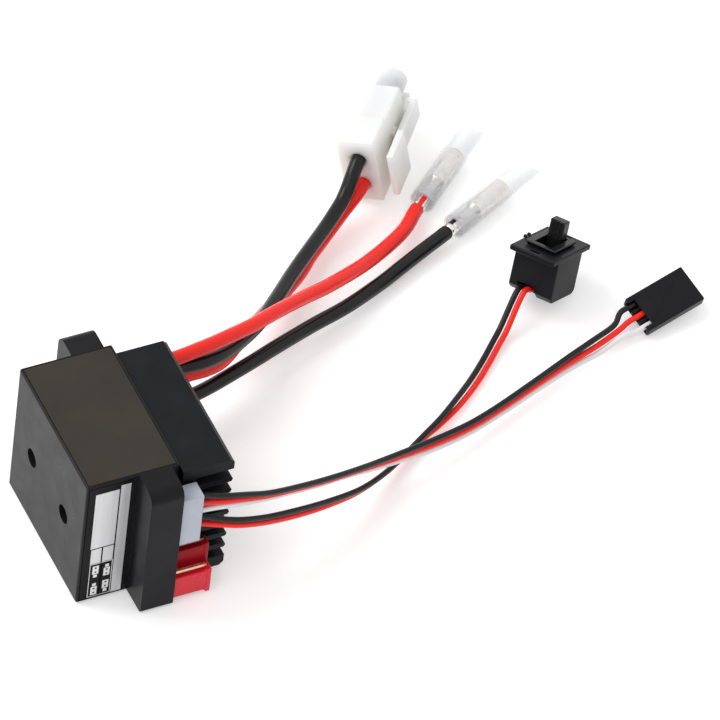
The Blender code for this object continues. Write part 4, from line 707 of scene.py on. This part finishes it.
def background_rays(tree):
    """1 for the rays that should find a white background (camera, glossy, transmission), else 0."""
    path = tree.nodes.new("ShaderNodeLightPath")
    value = path.outputs["Is Camera Ray"]
    for other in ("Is Glossy Ray", "Is Transmission Ray"):
        either = tree.nodes.new("ShaderNodeMath")
        either.operation = "MAXIMUM"
        tree.links.new(value, either.inputs[0])
        tree.links.new(path.outputs[other], either.inputs[1])
        value = either.outputs["Value"]
    return value


def make_floor():
    """Pale paper, with a lift that only those rays see."""
    bm = bmesh.new()
    bmesh.ops.create_grid(bm, x_segments=1, y_segments=1, size=FLOOR_SIZE)
    mesh = bpy.data.meshes.new("floor")
    bm.to_mesh(mesh)
    bm.free()
    floor = bpy.data.objects.new("floor", mesh)
    floor.location.z = -FLOOR_DROP
    bpy.context.scene.collection.objects.link(floor)
    look = Look("floor_paper", (0.93, 0.93, 0.93), 0.9, specular=0.1)
    look.tint(look.noise(20.0), 0.0, (0.935, 0.935, 0.935))
    glow = look.node("ShaderNodeEmission")
    lift = look.node("ShaderNodeMath", operation="MULTIPLY")
    lift.inputs[1].default_value = FLOOR_LIFT
    both = look.node("ShaderNodeAddShader")
    look.link(background_rays(look.tree), lift.inputs[0])
    look.link(lift.outputs["Value"], glow.inputs["Strength"])
    look.link(look.shader.outputs["BSDF"], both.inputs[0])
    look.link(glow.outputs["Emission"], both.inputs[1])
    look.link(both.outputs["Shader"], look.tree.nodes["Material Output"].inputs["Surface"])
    mesh.materials.append(look.mat)


def make_world():
    """White for the rays that see the background, and a plain even light for the rest."""
    world = bpy.data.worlds.new("studio")
    bpy.context.scene.world = world
    world.use_nodes = True
    tree = world.node_tree
    background = tree.nodes["Background"]
    background.inputs["Color"].default_value = (1.0, 1.0, 1.0, 1.0)
    strength = tree.nodes.new("ShaderNodeMapRange")
    strength.inputs["To Min"].default_value = WORLD_LIGHT
    strength.inputs["To Max"].default_value = 1.0
    tree.links.new(background_rays(tree), strength.inputs["Value"])
    tree.links.new(strength.outputs["Result"], background.inputs["Strength"])


def area_light(name, location, size, power):
    """A round soft lamp that faces the object."""
    data = bpy.data.lights.new(name, "AREA")
    data.shape = "DISK"
    data.size = size
    data.energy = power
    obj = bpy.data.objects.new(name, data)
    obj.location = location
    obj.rotation_euler = (LAMP_TARGET - Vector(location)).to_track_quat("-Z", "Y").to_euler()
    bpy.context.scene.collection.objects.link(obj)


def make_camera():
    """A distant camera with a long lens, looking down on the object's signal end."""
    forward = CAMERA_FORWARD.normalized()
    up = CAMERA_RIGHT.normalized().cross(forward).normalized()
    right = forward.cross(up).normalized()
    data = bpy.data.cameras.new("camera")
    data.sensor_width = CAMERA_SENSOR
    data.lens = CAMERA_LENS
    data.clip_end = CAMERA_REACH
    camera = bpy.data.objects.new("camera", data)
    turn = Matrix((right, up, -forward)).transposed()
    camera.matrix_world = Matrix.Translation(CAMERA_PLACE) @ turn.to_4x4()
    bpy.context.scene.collection.objects.link(camera)
    bpy.context.scene.camera = camera


make_floor()
make_world()
area_light("key", (-0.55, 0.55, 0.95), 0.8, 6.0)
area_light("fill", (-0.9, -0.25, 0.7), 1.0, 2.5)
make_camera()
bpy.context.scene.view_settings.view_transform = "Standard"
